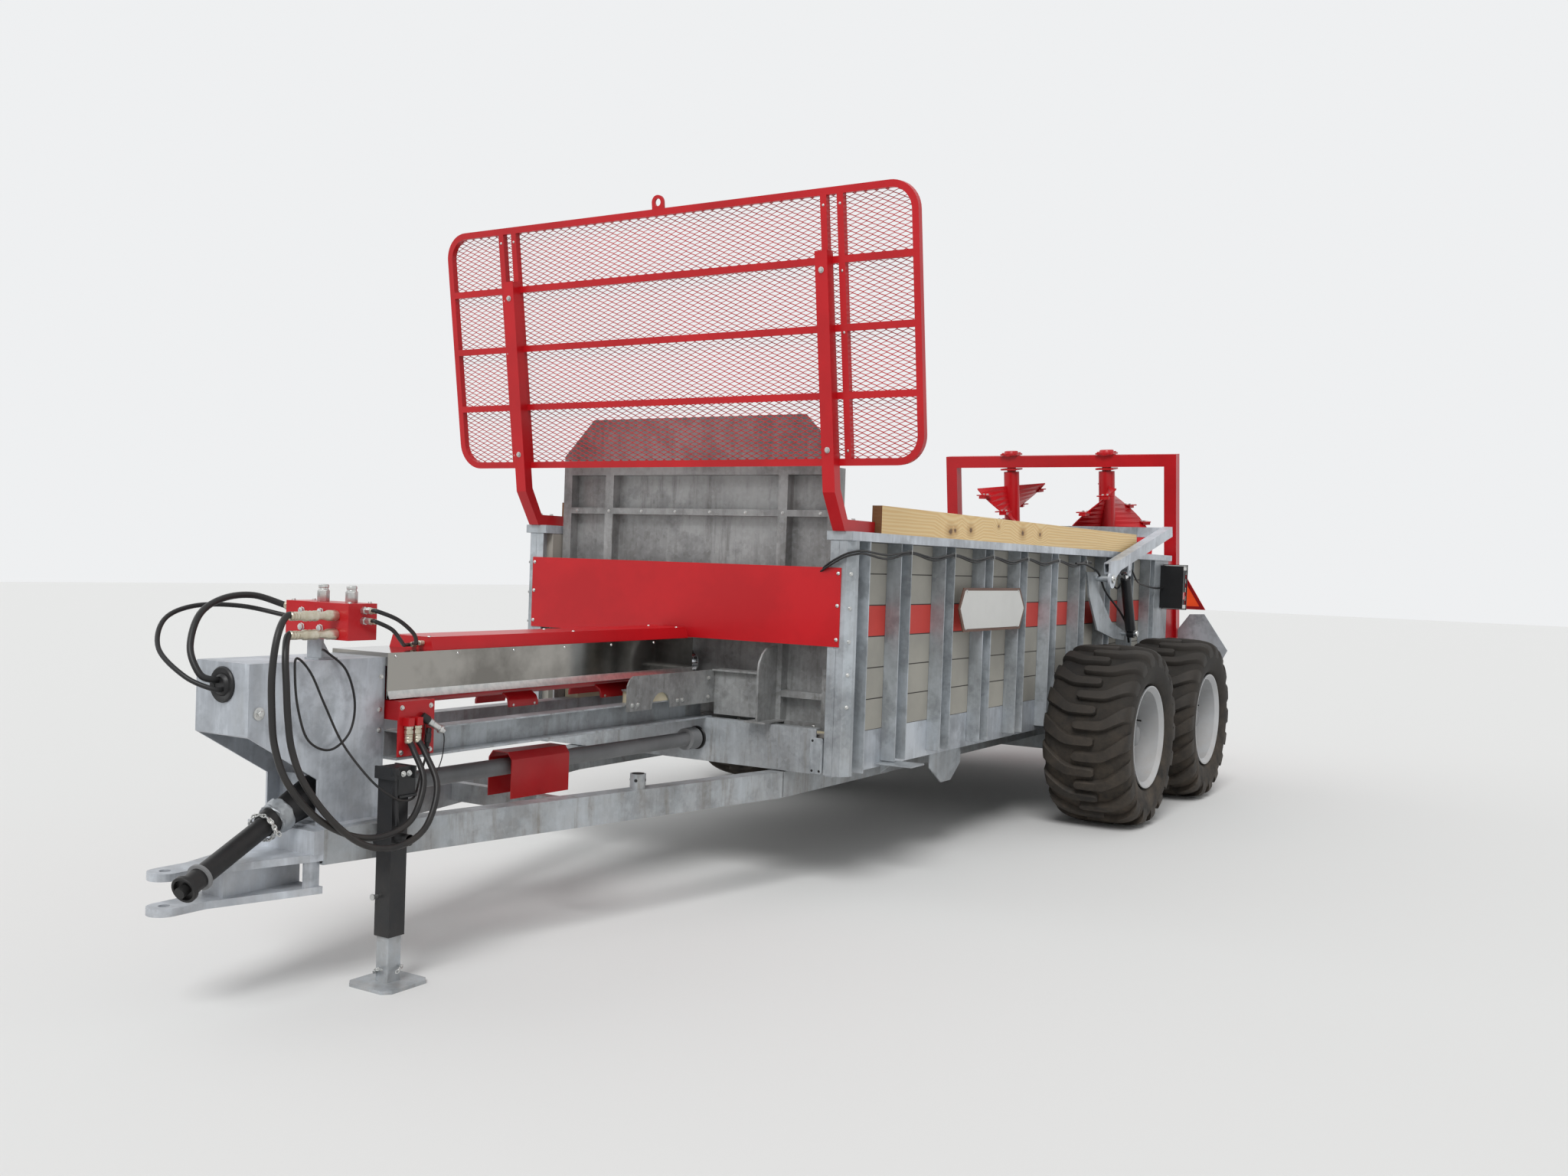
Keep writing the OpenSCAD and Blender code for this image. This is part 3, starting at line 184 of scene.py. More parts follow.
def finish(name, rough=0.5, metal=0.0, coat=0.0):
    """Makes a finish of that name; gives its shader tree and its plain shader."""
    made = bpy.data.materials.new(name)
    made.use_nodes = True
    shader = made.node_tree.nodes["Principled BSDF"]
    shader.inputs["Roughness"].default_value = rough
    shader.inputs["Metallic"].default_value = metal
    shader.inputs["Coat Weight"].default_value = coat
    FINISHES[name] = made
    return made.node_tree, shader


def use(tree, shared, **inputs):
    """The mask of a shared group, placed in a finish's tree with its own values."""
    made = tree.nodes.new("ShaderNodeGroup")
    made.node_tree = shared
    for key, value in inputs.items():
        made.inputs[key].default_value = value
    return made.outputs[0]


def blend(tree, mask, a, b):
    """A colour that goes from a to b by a mask; each is a colour or a socket."""
    made = tree.nodes.new("ShaderNodeMix")
    made.data_type = "RGBA"
    tree.links.new(mask, made.inputs["Factor"])
    for index, value in ((6, a), (7, b)):
        if isinstance(value, bpy.types.NodeSocket):
            tree.links.new(value, made.inputs[index])
        else:
            made.inputs[index].default_value = (*value, 1)
    return made.outputs[2]


def bump(tree, shader, height, distance, strength=1.0):
    """Lets a mask stand up from the surface by that many metres."""
    made = add(tree, "Bump", {"Height": height, "Distance": distance, "Strength": strength})
    tree.links.new(made.outputs[0], shader.inputs["Normal"])


DUST = (0.36, 0.27, 0.19)


def painted(name, colour, dark, rough, coat=0.12, dusty=0.12):
    """Sprayed enamel: slightly uneven, a little dust low down, a faint orange-peel."""
    tree, shader = finish(name, rough, 0.0, coat)
    shader.inputs["Coat Roughness"].default_value = 0.15
    shader.inputs["Specular IOR Level"].default_value = 0.32
    colour = blend(tree, use(tree, mottle, Scale=2.5, Low=0.0, High=0.7), colour, dark)
    low = use(tree, dust, Height=1.0, Amount=dusty)
    tree.links.new(blend(tree, low, colour, DUST), shader.inputs["Base Color"])
    bump(tree, shader, noise(tree, here(tree), 220.0), 0.0004, 0.5)


# Hot-dip galvanising covers most of the steel: pale blue-grey zinc with soft cloudy patches,
# run marks that follow the drip, and a spangle that only shows close by.
def zinc_dipped(name, pale, deep, stain, stained):
    """Dipped zinc in two tones, with its drips, its stains and its spangle."""
    tree, shader = finish(name, 0.42, 0.35)
    place = here(tree)
    colour = blend(tree, use(tree, mottle, Scale=2.2), deep, pale)
    drip_place = add(tree, "Mapping", {"Vector": place, "Scale": (9.0, 9.0, 1.1)}).outputs[0]
    drips = noise(tree, drip_place, 2.4, 6.0, 0.65)
    colour = blend(tree, remap(tree, drips, 0.52, 0.74, 0.0, 0.55), colour, [c * 1.2 for c in pale])
    colour = blend(tree, remap(tree, drips, 0.47, 0.30, 0.0, stained), colour, stain)
    grime = use(tree, mottle, Scale=5.5, Low=-0.6, High=0.5)
    colour = blend(tree, grime, colour, [c * 0.62 for c in deep])
    spangle = add(tree, "TexVoronoi", {"Vector": place, "Scale": 60.0}).outputs["Color"]
    colour = blend(tree, remap(tree, spangle, end=0.14), colour, (0.72, 0.76, 0.80))
    low = use(tree, dust, Height=0.8, Amount=0.4)
    tree.links.new(blend(tree, low, colour, DUST), shader.inputs["Base Color"])
    tree.links.new(remap(tree, spangle, start=0.34, end=0.52), shader.inputs["Roughness"])
    bump(tree, shader, drips, 0.002, 0.4)


zinc_dipped("galvanised", (0.42, 0.455, 0.485), (0.265, 0.285, 0.30), (0.20, 0.195, 0.18), 0.35)
zinc_dipped("bright_zinc", (0.60, 0.64, 0.69), (0.37, 0.395, 0.43), (0.28, 0.28, 0.27), 0.3)
zinc_dipped("tongue_zinc", (0.40, 0.43, 0.455), (0.27, 0.285, 0.295), (0.17, 0.155, 0.13), 0.8)
# The push gate's zinc is warm and stained, and its darker tone is painted shade.
zinc_dipped("gate_zinc_stained_and_shaded", (0.33, 0.335, 0.33), (0.19, 0.19, 0.185), (0.11, 0.105, 0.095), 0.6)

painted("red_paint", (0.50, 0.007, 0.012), (0.39, 0.005, 0.009), 0.36)
painted("black_paint", (0.013, 0.014, 0.016), (0.024, 0.025, 0.027), 0.42, 0.12, 0.06)
painted("grey_paint", (0.16, 0.165, 0.17), (0.24, 0.245, 0.25), 0.5)
painted("rim_paint", (0.46, 0.47, 0.48), (0.36, 0.37, 0.38), 0.38, 0.15, 0.4)
painted("orange_sheet", (0.90, 0.10, 0.02), (0.78, 0.07, 0.015), 0.55, 0.0)
painted("stripe_board", (0.66, 0.075, 0.06), (0.56, 0.055, 0.045), 0.6, 0.0)
painted("plastic_board", (0.40, 0.385, 0.34), (0.31, 0.30, 0.27), 0.6, 0.0)
painted("slide_plastic", (0.55, 0.50, 0.36), (0.45, 0.40, 0.28), 0.5, 0.0)
painted("floor_plastic", (0.20, 0.19, 0.18), (0.28, 0.26, 0.24), 0.7, 0.0)
painted("black_plastic", (0.012, 0.012, 0.013), (0.02, 0.02, 0.02), 0.42, 0.0, 0.04)
painted("hose_rubber", (0.014, 0.014, 0.015), (0.022, 0.021, 0.020), 0.42, 0.0, 0.12)
painted("tyre_rubber", (0.014, 0.013, 0.012), (0.028, 0.025, 0.021), 0.8, 0.0, 0.26)
painted("lug_rubber", (0.020, 0.018, 0.016), (0.036, 0.031, 0.026), 0.7, 0.0, 0.2)
painted("white_sheet", (0.66, 0.66, 0.64), (0.60, 0.60, 0.58), 0.45)
painted("brown_sheet", (0.10, 0.045, 0.03), (0.14, 0.065, 0.04), 0.5)
painted("deep_red", (0.30, 0.010, 0.012), (0.24, 0.008, 0.010), 0.3)


def cloudy_metal(name, rough, metal, scale, dull, bright):
    """Plated or polished metal in two close tones, in clouds of that scale."""
    tree, shader = finish(name, rough, metal)
    colour = blend(tree, use(tree, mottle, Scale=scale), dull, bright)
    tree.links.new(colour, shader.inputs["Base Color"])


cloudy_metal("zinc", 0.3, 0.9, 40.0, (0.50, 0.51, 0.50), (0.62, 0.62, 0.60))
cloudy_metal("yellow_zinc", 0.34, 0.8, 40.0, (0.52, 0.47, 0.36), (0.64, 0.60, 0.50))
cloudy_metal("mirror_steel", 0.10, 1.0, 3.0, (0.20, 0.19, 0.175), (0.36, 0.345, 0.32))
cloudy_metal("chrome_rod", 0.12, 1.0, 12.0, (0.72, 0.73, 0.75), (0.78, 0.79, 0.80))

# The planks on the top rails are pale pine: straight grain that swells round a few knots, and a
# weathered brown front end. A knot is its place along the box, its share of the plank's height, and
# its size.
RAIL_TOP, PLANK_HEIGHT = 1.616, 0.125
KNOTS = [(960, 0.28, 1.2), (1012, 0.34, 0.8), (1205, 0.40, 1.0), (1570, 0.68, 0.5), (1915, 0.49, 1.1),
         (2180, 0.50, 0.8)]
tree, shader = finish("pine", 0.6)
place = here(tree)
waver = noise(tree, place, 70.0)
near = add(tree, "Value").outputs[0]
near.default_value = 1.0
for y, share, size in KNOTS:
    centre = (0, y / 1000 + BOX_FRONT, RAIL_TOP + share * PLANK_HEIGHT)
    away = calc(tree, "SUBTRACT", place, centre, kind="VectorMath")
    away = calc(tree, "MULTIPLY", away, (0, 0.7 / size, 1 / size), kind="VectorMath")
    away = add(tree, "VectorMath", {0: away}, operation="LENGTH").outputs["Value"]
    near = calc(tree, "MINIMUM", near, away)
near = calc(tree, "MULTIPLY_ADD", waver, 0.012, near)
swell = add(tree, "CombineXYZ", {"Z": remap(tree, near, 0.12, 0.0, 0.0, 0.05)}).outputs[0]
bent = calc(tree, "ADD", place, swell, kind="VectorMath")
stretch = add(tree, "Mapping", {"Vector": bent, "Scale": (12.0, 0.8, 12.0)}).outputs[0]
grain = add(tree, "TexWave", {"Vector": stretch, "Scale": 1.6, "Distortion": 6.0, "Detail": 3.0,
                              "Detail Scale": 1.2}, wave_type="BANDS", bands_direction="Z").outputs["Fac"]
colour = blend(tree, grain, (0.74, 0.50, 0.23), (0.82, 0.62, 0.33))
colour = blend(tree, remap(tree, near, 0.055, 0.020, 0.0, 0.6), colour, (0.42, 0.22, 0.07))
colour = blend(tree, remap(tree, near, 0.022, 0.014, 0.0, 0.9), colour, (0.10, 0.045, 0.02))
facing = add(tree, "SeparateXYZ", {0: place.node.outputs["Normal"]}).outputs["Y"]
colour = blend(tree, calc(tree, "LESS_THAN", facing, -0.7), colour, (0.20, 0.095, 0.035))
tree.links.new(colour, shader.inputs["Base Color"])
bump(tree, shader, grain, 0.0012, 0.5)

# Each node wears the finish of its slot in the record; the cleaner and the more stained zinc parts
# have their own. The push gate's zinc is stained, and its darker tone is also painted shade.
BY_SLOT = {"poly_board": "plastic_board", "stripe": "stripe_board", "tyre": "tyre_rubber",
           "stainless": "mirror_steel", "black_steel": "black_paint", "rod_chrome": "chrome_rod",
           "grey_steel": "grey_paint", "orange_sign": "orange_sheet"}
OWN_ZINC = {"gate_zinc_stained_and_shaded": ["push_gate"],
            "bright_zinc": ["pedestal", "tongue_nose", "side_sills", "top_rails", "rear_gate_arms"],
            "tongue_zinc": ["tongue_frame", "front_beam", "main_rails", "cross_members"]}
for part in frame["record"]["subparts"]:
    slot, mesh = part["material_slot"], CAD[part["node"]].data
    mesh.materials.clear()
    mesh.materials.append(FINISHES[BY_SLOT.get(slot, slot)])
for name, nodes in OWN_ZINC.items():
    for node in nodes:
        CAD[node].material_slots[0].material = FINISHES[name]

# The side walls are tongued plastic boards behind the posts, one over the other: a dark line shows
# at each joint.
COURSE_FOOT, COURSE = 0.712, 0.144
for name in ("plastic_board", "stripe_board"):
    tree = FINISHES[name].node_tree
    base = tree.nodes["Principled BSDF"].inputs["Base Color"]
    height = add(tree, "SeparateXYZ", {0: here(tree)}).outputs["Z"]
    height = calc(tree, "SUBTRACT", height, COURSE_FOOT)
    height = calc(tree, "PINGPONG", calc(tree, "DIVIDE", height, COURSE), 0.5)
    joint = remap(tree, height, 0.010, 0.026)
    tree.links.new(blend(tree, joint, (0.06, 0.055, 0.05), base.links[0].from_socket), base)

# The hoses and lines of the tongue. Two large black hoses hang in a loop from the couplers down
# round the jack to the ported plate, two lines go into the pedestal's face, two go under the red
# rail, and the lamp cable hangs in loops. Places are measured from the pedestal's rear face.
PEDESTAL_REAR = -1937


def smooth(points, steps):
    """A smooth curve through the points."""
    made = []
    for i in range(len(points) - 1):
        a, b, c, d = (Vector(points[min(max(k, 0), len(points) - 1)]) for k in (i - 1, i, i + 1, i + 2))
        for k in range(steps):
            t = k / steps
            made.append(0.5 * (2 * b + (c - a) * t + (2 * a - 5 * b + 4 * c - d) * t * t
                               + (3 * b - a - 3 * c + d) * t ** 3))
    return made + [Vector(points[-1])]


def piece(name, parts, finishes, body="spreader", angle=35, stands_for=(), bevel=0.0):
    """One mesh object from parts in millimetres; a part is its points, its faces, and the number of
    one of the piece's finishes, if not the first."""
    points, faces, looks = [], [], []
    for part in parts:
        faces += [[i + len(points) for i in face] for face in part[1]]
        looks += [part[2] if len(part) > 2 else 0] * len(part[1])
        points += [(p[0] / 1000, p[1] / 1000 + BOX_FRONT, p[2] / 1000) for p in part[0]]
    mesh = bpy.data.meshes.new(name)
    mesh.from_pydata(points, [], faces)
    mesh.polygons.foreach_set("material_index", looks)
    for look in finishes.split():
        mesh.materials.append(FINISHES[look])
    shape = bmesh.new()
    shape.from_mesh(mesh)
    bmesh.ops.recalc_face_normals(shape, faces=shape.faces)
    shape.to_mesh(mesh)
    shape.free()
    mesh.polygons.foreach_set("use_smooth", [True] * len(mesh.polygons))
    mesh.set_sharp_from_angle(angle=math.radians(angle))
    made = in_scene(name, mesh)
    if bevel:
        rounding = made.modifiers.new("rounding", "BEVEL")
        rounding.width, rounding.segments, rounding.limit_method = bevel / 1000, 2, "ANGLE"
        rounding.angle_limit = math.radians(40)
        rounding.harden_normals = True
    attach(made, body)
    if stands_for:
        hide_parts(*stands_for)
    return made


def across(axis):
    """Two directions square to an axis and to each other, and the axis."""
    w = Vector(axis).normalized()
    u = w.orthogonal().normalized()
    return u, w.cross(u), w


def round_turn(sides, count=None):
    """The angles of a full turn in even steps, all of them or another count of steps."""
    return [math.tau * k / sides for k in range(count or sides)]


def skin(rows, sides, ends=True):
    """The faces between rings of points with so many sides, and the flat faces of the two ends."""
    faces = []
    for low in range(0, (rows - 1) * sides, sides):
        for k in range(sides):
            after = (k + 1) % sides
            faces.append((low + k, low + after, low + sides + after, low + sides + k))
    last = (rows - 1) * sides
    return faces + ([tuple(range(sides)), tuple(range(last, last + sides))] if ends else [])


def lathe(at, axis, profile, sides=20):
    """A turned part: its profile is pairs of height along the axis and radius."""
    u, v, w = across(axis)
    points = [Vector(at) + w * h + (u * math.cos(t) + v * math.sin(t)) * r
              for h, r in profile for t in round_turn(sides)]
    return points, skin(len(profile), sides)


# Each hose is its node, its radius, how it lies, and its route.
HOSES = [
    ("hose_upper", 11, "hanging", [
        (225, -455, 1250), (225, -500, 1250), (250, -552, 1190), (256, -573, 1080), (256, -570, 960),
        (264, -562, 850), (300, -540, 740), (332, -452, 625), (338, -312, 548), (338, -172, 528),
        (332, -50, 568), (300, 28, 680), (240, 38, 775), (218, 32, 815), (218, 32, 835)]),
    ("hose_lower", 11, "hanging", [
        (225, -455, 1190), (225, -492, 1190), (262, -530, 1130), (280, -538, 1040), (286, -534, 940),
        (294, -522, 840), (324, -495, 735), (358, -410, 610), (368, -285, 518), (368, -145, 492),
        (360, -16, 536), (326, 66, 660), (250, 78, 770), (218, 72, 815), (218, 72, 835)]),
    ("hose_grommet", 11, "loose", [
        (-60, -243, 1268), (-95, -243, 1268), (-150, -330, 1300), (-150, -450, 1290), (-118, -560, 1240),
        (-78, -620, 1140), (-30, -620, 1060), (-8, -590, 1040), (-8, -557.3, 1040)]),
    ("line_grommet", 8, "loose", [
        (-60, -243, 1234), (-95, -243, 1234), (-200, -340, 1262), (-250, -480, 1262), (-240, -600, 1220),
        (-180, -660, 1130), (-60, -650, 1050), (16, -600, 1012), (16, -557.3, 1012)]),
    ("line_ridge_outer", 7, "loose", [
        (320, -243, 1268), (348, -243, 1268), (365, -170, 1240), (300, -40, 1190), (180, 90, 1150),
        (60, 195, 1134), (60, 239.7, 1134)]),
    ("line_ridge_inner", 7, "loose", [
        (320, -243, 1234), (342, -243, 1234), (348, -180, 1208), (260, -60, 1166), (130, 80, 1136),
        (22, 195, 1126), (22, 239.7, 1126)]),
    ("lamp_cable", 4, "hanging", [
        (114, -260, 1130), (135, -255, 1120), (150, -190, 1060), (150, -150, 950), (150, -170, 850),
        (150, -250, 800), (150, -340, 840), (150, -385, 950), (150, -400, 1060), (152, -395, 1110),
        (160, -345, 1060), (168, -290, 950), (190, -230, 820), (270, -180, 705), (311, -125, 648),
        (316, -75, 628), (306, -25, 630), (275, 20, 645), (245, 65, 690), (226, 105, 745),
        (222, 116, 795)]),
]


def free_run(name, radius, route):
    """A free hose or cable as one open curve on the spreader; gives it with its points and its length."""
    line = [Vector((x / 1000, y / 1000 + BOX_FRONT, z / 1000)) for x, y, z in smooth(route, 8)]
    data = bpy.data.curves.new(name, "CURVE")
    data.dimensions = "3D"
    data.bevel_depth, data.bevel_resolution, data.use_fill_caps = radius / 1000, 3, True
    spline = data.splines.new("POLY")
    spline.points.add(len(line) - 1)
    for point, at in zip(spline.points, line):
        point.co = (*at, 1)
    data.materials.append(FINISHES["hose_rubber"])
    run = in_scene(name, data)
    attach(run, "spreader")
    return run, line, round(sum((b - a).length for a, b in zip(line, line[1:])), 3)


PLUG = [(-14, 5), (-10, 8), (2, 9), (3, 11), (34, 11), (36, 9), (52, 9), (54, 7)]
for node, radius, lay, route in HOSES:
    run, line, length = free_run(node + "_run", radius, [(x, y + PEDESTAL_REAR, z) for x, y, z in route])
    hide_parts(node)
    if node == "lamp_cable":
        plug_at = Vector((222, 116 + PEDESTAL_REAR, 795))
        plug = piece("lamp_cable_plug", [lathe(plug_at, (-4, 11, 50), PLUG)], "black_plastic")


# The tyres: wide flotation tyres with long lugs. A lug runs parallel to the axle from a little past
# the tread's middle, then bends back to its own shoulder; left and right lugs lie between each other.
SIDES = [(1, "left"), (-1, "right")]
AXLES = [(2690, "front"), (4010, "rear")]
TRACK, TYRE_RADIUS, LUG_RADIUS, TREAD_REACH = 1225, 526, 500, 249.5
LUGS, RINGS = 18, 108
CARCASS = [(-190, 292), (-204, 298), (-226, 318), (-232, 326), (-234, 330), (-242, 352), (-249, 388),
           (-249, 420), (-244, 446), (-232, 466), (-212, 479), (-180, 487), (-120, 491), (0, 494)]
CARCASS += [(-s, r) for s, r in reversed(CARCASS[:-1])]
TREAD, SHOULDER_RADIUS = CARCASS[10:], 466
# Stations of a lug from its inner end: place across the tread, radius of its top, how far it has
# swept back round the tyre, and its half width.
LUG = [(-62, 524, 0, 12), (-56, 525, 0, 19), (-44, 526, 0, 24), (0, 526, 0, 26), (60, 525, 1, 27),
       (95, 524, 5, 29), (125, 522, 18, 33), (155, 519, 38, 37), (190, 513, 62, 41), (218, 504, 82, 44),
       (238, 490, 96, 46), (248, 470, 106, 46), (250, 446, 116, 43), (250, 428, 124, 36)]


def base_radius(sideways):
    """Radius of the tread between the lugs at a place across the tyre."""
    for (s0, r0), (s1, r1) in zip(TREAD, TREAD[1:]):
        if s0 <= sideways <= s1:
            return r0 + (r1 - r0) * (sideways - s0) / (s1 - s0)
    return SHOULDER_RADIUS


def tyre_point(sideways, radius, turn, side, axle):
    """A place on a tyre, from its middle plane, its radius and how far round it lies."""
    return (side * (TRACK + sideways), axle - radius * math.sin(turn), TYRE_RADIUS + radius * math.cos(turn))


def tyre(side, axle):
    """The carcass as one ring, and the lugs of both halves, each with seven points to a station."""
    points = [tyre_point(s, r, turn, side, axle) for s, r in CARCASS for turn in round_turn(RINGS)]
    parts = [(points, skin(len(CARCASS), RINGS, False), 0)]
    for half in (1, -1):
        for n in range(LUGS):
            start = math.tau * (n + (0.5 if half < 0 else 0)) / LUGS
            points = []
            for sideways, top, sweep, wide in LUG:
                foot = min(base_radius(sideways) - 8, top - 12)
                turn = start - sweep / TYRE_RADIUS
                for offset, radius in ((-wide - 5, foot), (-wide, top - 6), (-wide + 5, top), (0, top + 1),
                                       (wide - 5, top), (wide, top - 6), (wide + 5, foot)):
                    points.append(tyre_point(half * min(sideways, TREAD_REACH), min(radius, TYRE_RADIUS),
                                             turn + offset / LUG_RADIUS, side, axle))
            last = 7 * (len(LUG) - 1)
            faces = [(i + k, i + k + 1, i + k + 8, i + k + 7) for i in range(0, last, 7) for k in range(6)]
            faces += [tuple(range(7)), tuple(range(last, last + 7))]
            parts.append((points, faces, 1))
    return parts


for side, hand in SIDES:
    for axle, end in AXLES:
        piece(f"tyre_{hand}_{end}_tread", tyre(side, axle), "tyre_rubber lug_rubber", f"wheel_{hand}_{end}",
              angle=40, stands_for=[f"tyre_{hand}_{end}"])


# The guard's mesh is expanded steel: zigzag strands that meet in flat diamonds, painted red,
# behind the bars of the leaning guard.
LEAN = math.radians(8)
GUARD_FOOT = (-134, 1892)
MESH_HALF, MESH_LOW, MESH_HIGH, MESH_CORNER = 1290, 10, 1150, 115
MESH_STEP, MESH_RISE, MESH_ROWS, MESH_COLUMNS = 25.5, 11.5, 101, 51
STRAND = [(0, -1.7), (2.2, -1.1), (2.2, 2.1), (0, 1.5)]


def leaning(foot, x, y, z):
    """A place in a leaning plane: across, to the rear of its foot's point, and up along its lean."""
    return (x, foot[0] + y * math.cos(LEAN) - z * math.sin(LEAN),
            foot[1] + y * math.sin(LEAN) + z * math.cos(LEAN))


def at_guard(x, y, z):
    """From the guard's own plane, its origin at the front of its lower edge."""
    return leaning(GUARD_FOOT, x, y, z)


def in_guard(x, z):
    """Whether a place lies within the mesh, whose corners are round."""
    over_x = abs(x) - (MESH_HALF - MESH_CORNER)
    over_z = max(MESH_LOW + MESH_CORNER - z, z - (MESH_HIGH - MESH_CORNER))
    inside = abs(x) < MESH_HALF and MESH_LOW < z < MESH_HIGH
    return inside and (over_x < 0 or over_z < 0 or math.hypot(over_x, over_z) < MESH_CORNER)


strands = []
for row in range(MESH_ROWS):
    points, faces, before = [], [], False
    for column in range(-MESH_COLUMNS, MESH_COLUMNS + 1):
        wave = (-1) ** (column + row)
        x, z = column * MESH_STEP, 5 + MESH_RISE * row + (MESH_RISE / 2 - 1.2) * wave
        now = in_guard(x, z)
        if now:
            deep = 31.2 + 0.8 * wave
            points += [at_guard(x, deep + y, z + rise) for y, rise in STRAND]
            if before:
                n = len(points) - 8
                faces += [(n + k, n + (k + 1) % 4, n + 4 + (k + 1) % 4, n + 4 + k) for k in range(4)]
        before = now
    strands.append((points, faces))
piece("guard_mesh_strands", strands, "red_paint", stands_for=["guard_mesh"])


# The pedestal is a welded and galvanised plate box. A rubber grommet lines the hole in its face, a
# big washer and bolts hold what lies inside it, and more bolts hold the bright cover's front edge.
LEFT, RIGHT, AHEAD, UP, DOWN = (1, 0, 0), (-1, 0, 0), (0, -1, 0), (0, 0, 1), (0, 0, -1)


def prism(axis, outline, low, high):
    """A flat part: an outline square to one axis, from low to high along it."""
    place = "xyz".index(axis)
    points = [(*p[:place], s, *p[place:]) for s in (low, high) for p in outline]
    return points, skin(2, len(outline))


def block(x, y, z):
    """A squared part between two places along each axis."""
    return prism("z", [(x[0], y[0]), (x[1], y[0]), (x[1], y[1]), (x[0], y[1])], *z)


def in_finish(number, parts):
    """The same parts in another of the piece's finishes."""
    return [(part[0], part[1], number) for part in parts]


def placed(to, parts):
    """The same parts moved by a function of a place."""
    return [([to(*p) for p in part[0]], *part[1:]) for part in parts]


def both(parts):
    """The parts of the left side and their mirror images on the right."""
    return parts + placed(lambda x, y, z: (-x, y, z), parts)


def bolt(at, axis, size=9):
    """A hexagon head on its washer; its size is half its width."""
    washer = [(0, size * 1.3), (size * 0.2, size * 1.3), (size * 0.26, size * 1.2)]
    head = [(size * 0.2, size), (size * 0.8, size), (size * 0.96, size * 0.84)]
    return [lathe(at, axis, washer, 16), lathe(at, axis, head, 6)]


def bolts(places, axis, size=9):
    """A bolt at each of these places."""
    return [part for at in places for part in bolt(at, axis, size)]


def rivet(at, axis, size=7):
    """A low domed head; its size is its radius."""
    dome = [(0, size), (size * 0.25, size * 0.95), (size * 0.5, size * 0.7), (size * 0.62, 0.5)]
    return lathe(at, axis, dome, 14)


GROMMET = [(0, 58), (5, 58), (9, 54), (9, 42), (6, 36), (14, 30), (16, 26), (13, 22)]
pedestal_bolts = [lathe((129, -2456, 938), LEFT, [(0, 21), (4, 21), (5, 19)], 24)]
pedestal_bolts += bolt((134, -2456, 938), LEFT, 10)
pedestal_bolts += bolts([(129, -1955, 1029), (129, -1958, 915), (129, -1958, 844)], LEFT, 7)
piece("pedestal_bolts", pedestal_bolts, "zinc")
piece("face_grommet", [lathe((4, -2494, 1024), AHEAD, GROMMET, 36)], "black_plastic")

# The valve manifold is a drilled steel block, painted red, on a bracket that is bolted to the
# pedestal's top. Its couplings are bare plated steel: two upright, two forward, two at each end.
COUPLING = [(0, 16), (7.8, 18), (36.4, 18), (44.2, 15), (57.2, 13), (78, 13), (80.6, 17), (91, 17.5),
            (96.2, 15.5), (106.6, 17.5), (111.8, 15.5), (122.2, 17.5), (130, 17), (135.2, 14), (150.8, 13)]
UPRIGHT_NUT = [(0, 19), (2, 20), (36, 20), (38, 17.5)]
UPRIGHT_NECK = [(36, 17), (40, 17), (41, 15.5), (45, 15.5), (46, 17), (54, 17), (57, 14)]
END_FITTING = [(0, 13), (14, 13), (15, 10), (24, 10), (25, 12), (40, 12)]
PORT_PLUG = [(0, 14), (2, 14), (3, 12), (9, 12), (10, 10)]
PLUG_SOCKET = [(0, 6), (1.6, 5)]
fittings = bolts([(60, -2150, 1102), (90, -2150, 1102)], UP, 8)
fittings += bolts([(x, y, 1290) for x in (265, -5) for y in (-2222, -2138)], UP, 6)
for x in (90, 225):
    fittings += [lathe((x, -2180, 1290), UP, UPRIGHT_NUT, 6), lathe((x, -2180, 1290), UP, UPRIGHT_NECK, 20)]
for x, out in ((-20, RIGHT), (280, LEFT)):
    fittings += [lathe((x, -2180, z), out, END_FITTING, 6) for z in (1234, 1268)]
for x, z in ((60, 1205), (60, 1258), (150, 1258), (150, 1205)):
    fittings += [lathe((x, -2240, z), AHEAD, PORT_PLUG, 6), lathe((x, -2249, z), AHEAD, PLUG_SOCKET, 6)]
bracket = [block((40, 110), (-2200, -2190), (1102, 1170)), block((40, 110), (-2210, -2130), (1096, 1102))]
bracket += [prism("x", [(-2190, 1102), (-2150, 1102), (-2190, 1160)], x, x + 5) for x in (45, 100)]
couplings = [lathe((225, -2240, z), AHEAD, COUPLING, 18) for z in (1190, 1250)]
manifold = [block((-20, 280), (-2240, -2120), (1170, 1290))]
manifold += in_finish(1, fittings) + in_finish(2, bracket) + in_finish(3, couplings)
piece("valve_manifold", manifold, "red_paint zinc galvanised yellow_zinc",
      stands_for=["valve_block"], bevel=1.2)

# Each hose and line ends in a crimped steel ferrule, the two large ones with a hexagon behind it. The
# profile's heights are those on a large hose; its radii are shares of the hose's own.
LARGE_HOSE = 11
FERRULE = [(-12, 1.25), (0, 1.25), (1, 1.1), (3, 1.32), (9, 1.32), (11, 1.22), (13, 1.32), (19, 1.32),
           (21, 1.22), (23, 1.32), (30, 1.32), (33, 1.1)]
HEXAGON = [(0, 15), (12, 15), (13, 12), (16, 12), (17, 15), (26, 15)]
HOSE_ENDS = [((225, -2392, 1250), AHEAD, 11), ((225, -2392, 1190), AHEAD, 11), ((218, -1905, 835), DOWN, 11),
             ((218, -1865, 835), DOWN, 11), ((-60, -2180, 1268), RIGHT, 11), ((-60, -2180, 1234), RIGHT, 8),
             ((320, -2180, 1268), LEFT, 7), ((320, -2180, 1234), LEFT, 7), ((60, -1697.5, 1134), AHEAD, 7),
             ((22, -1697.5, 1126), AHEAD, 7)]
ferrules = [lathe(at, axis, [(h * radius / LARGE_HOSE, r * radius) for h, r in FERRULE], 16)
            for at, axis, radius in HOSE_ENDS]
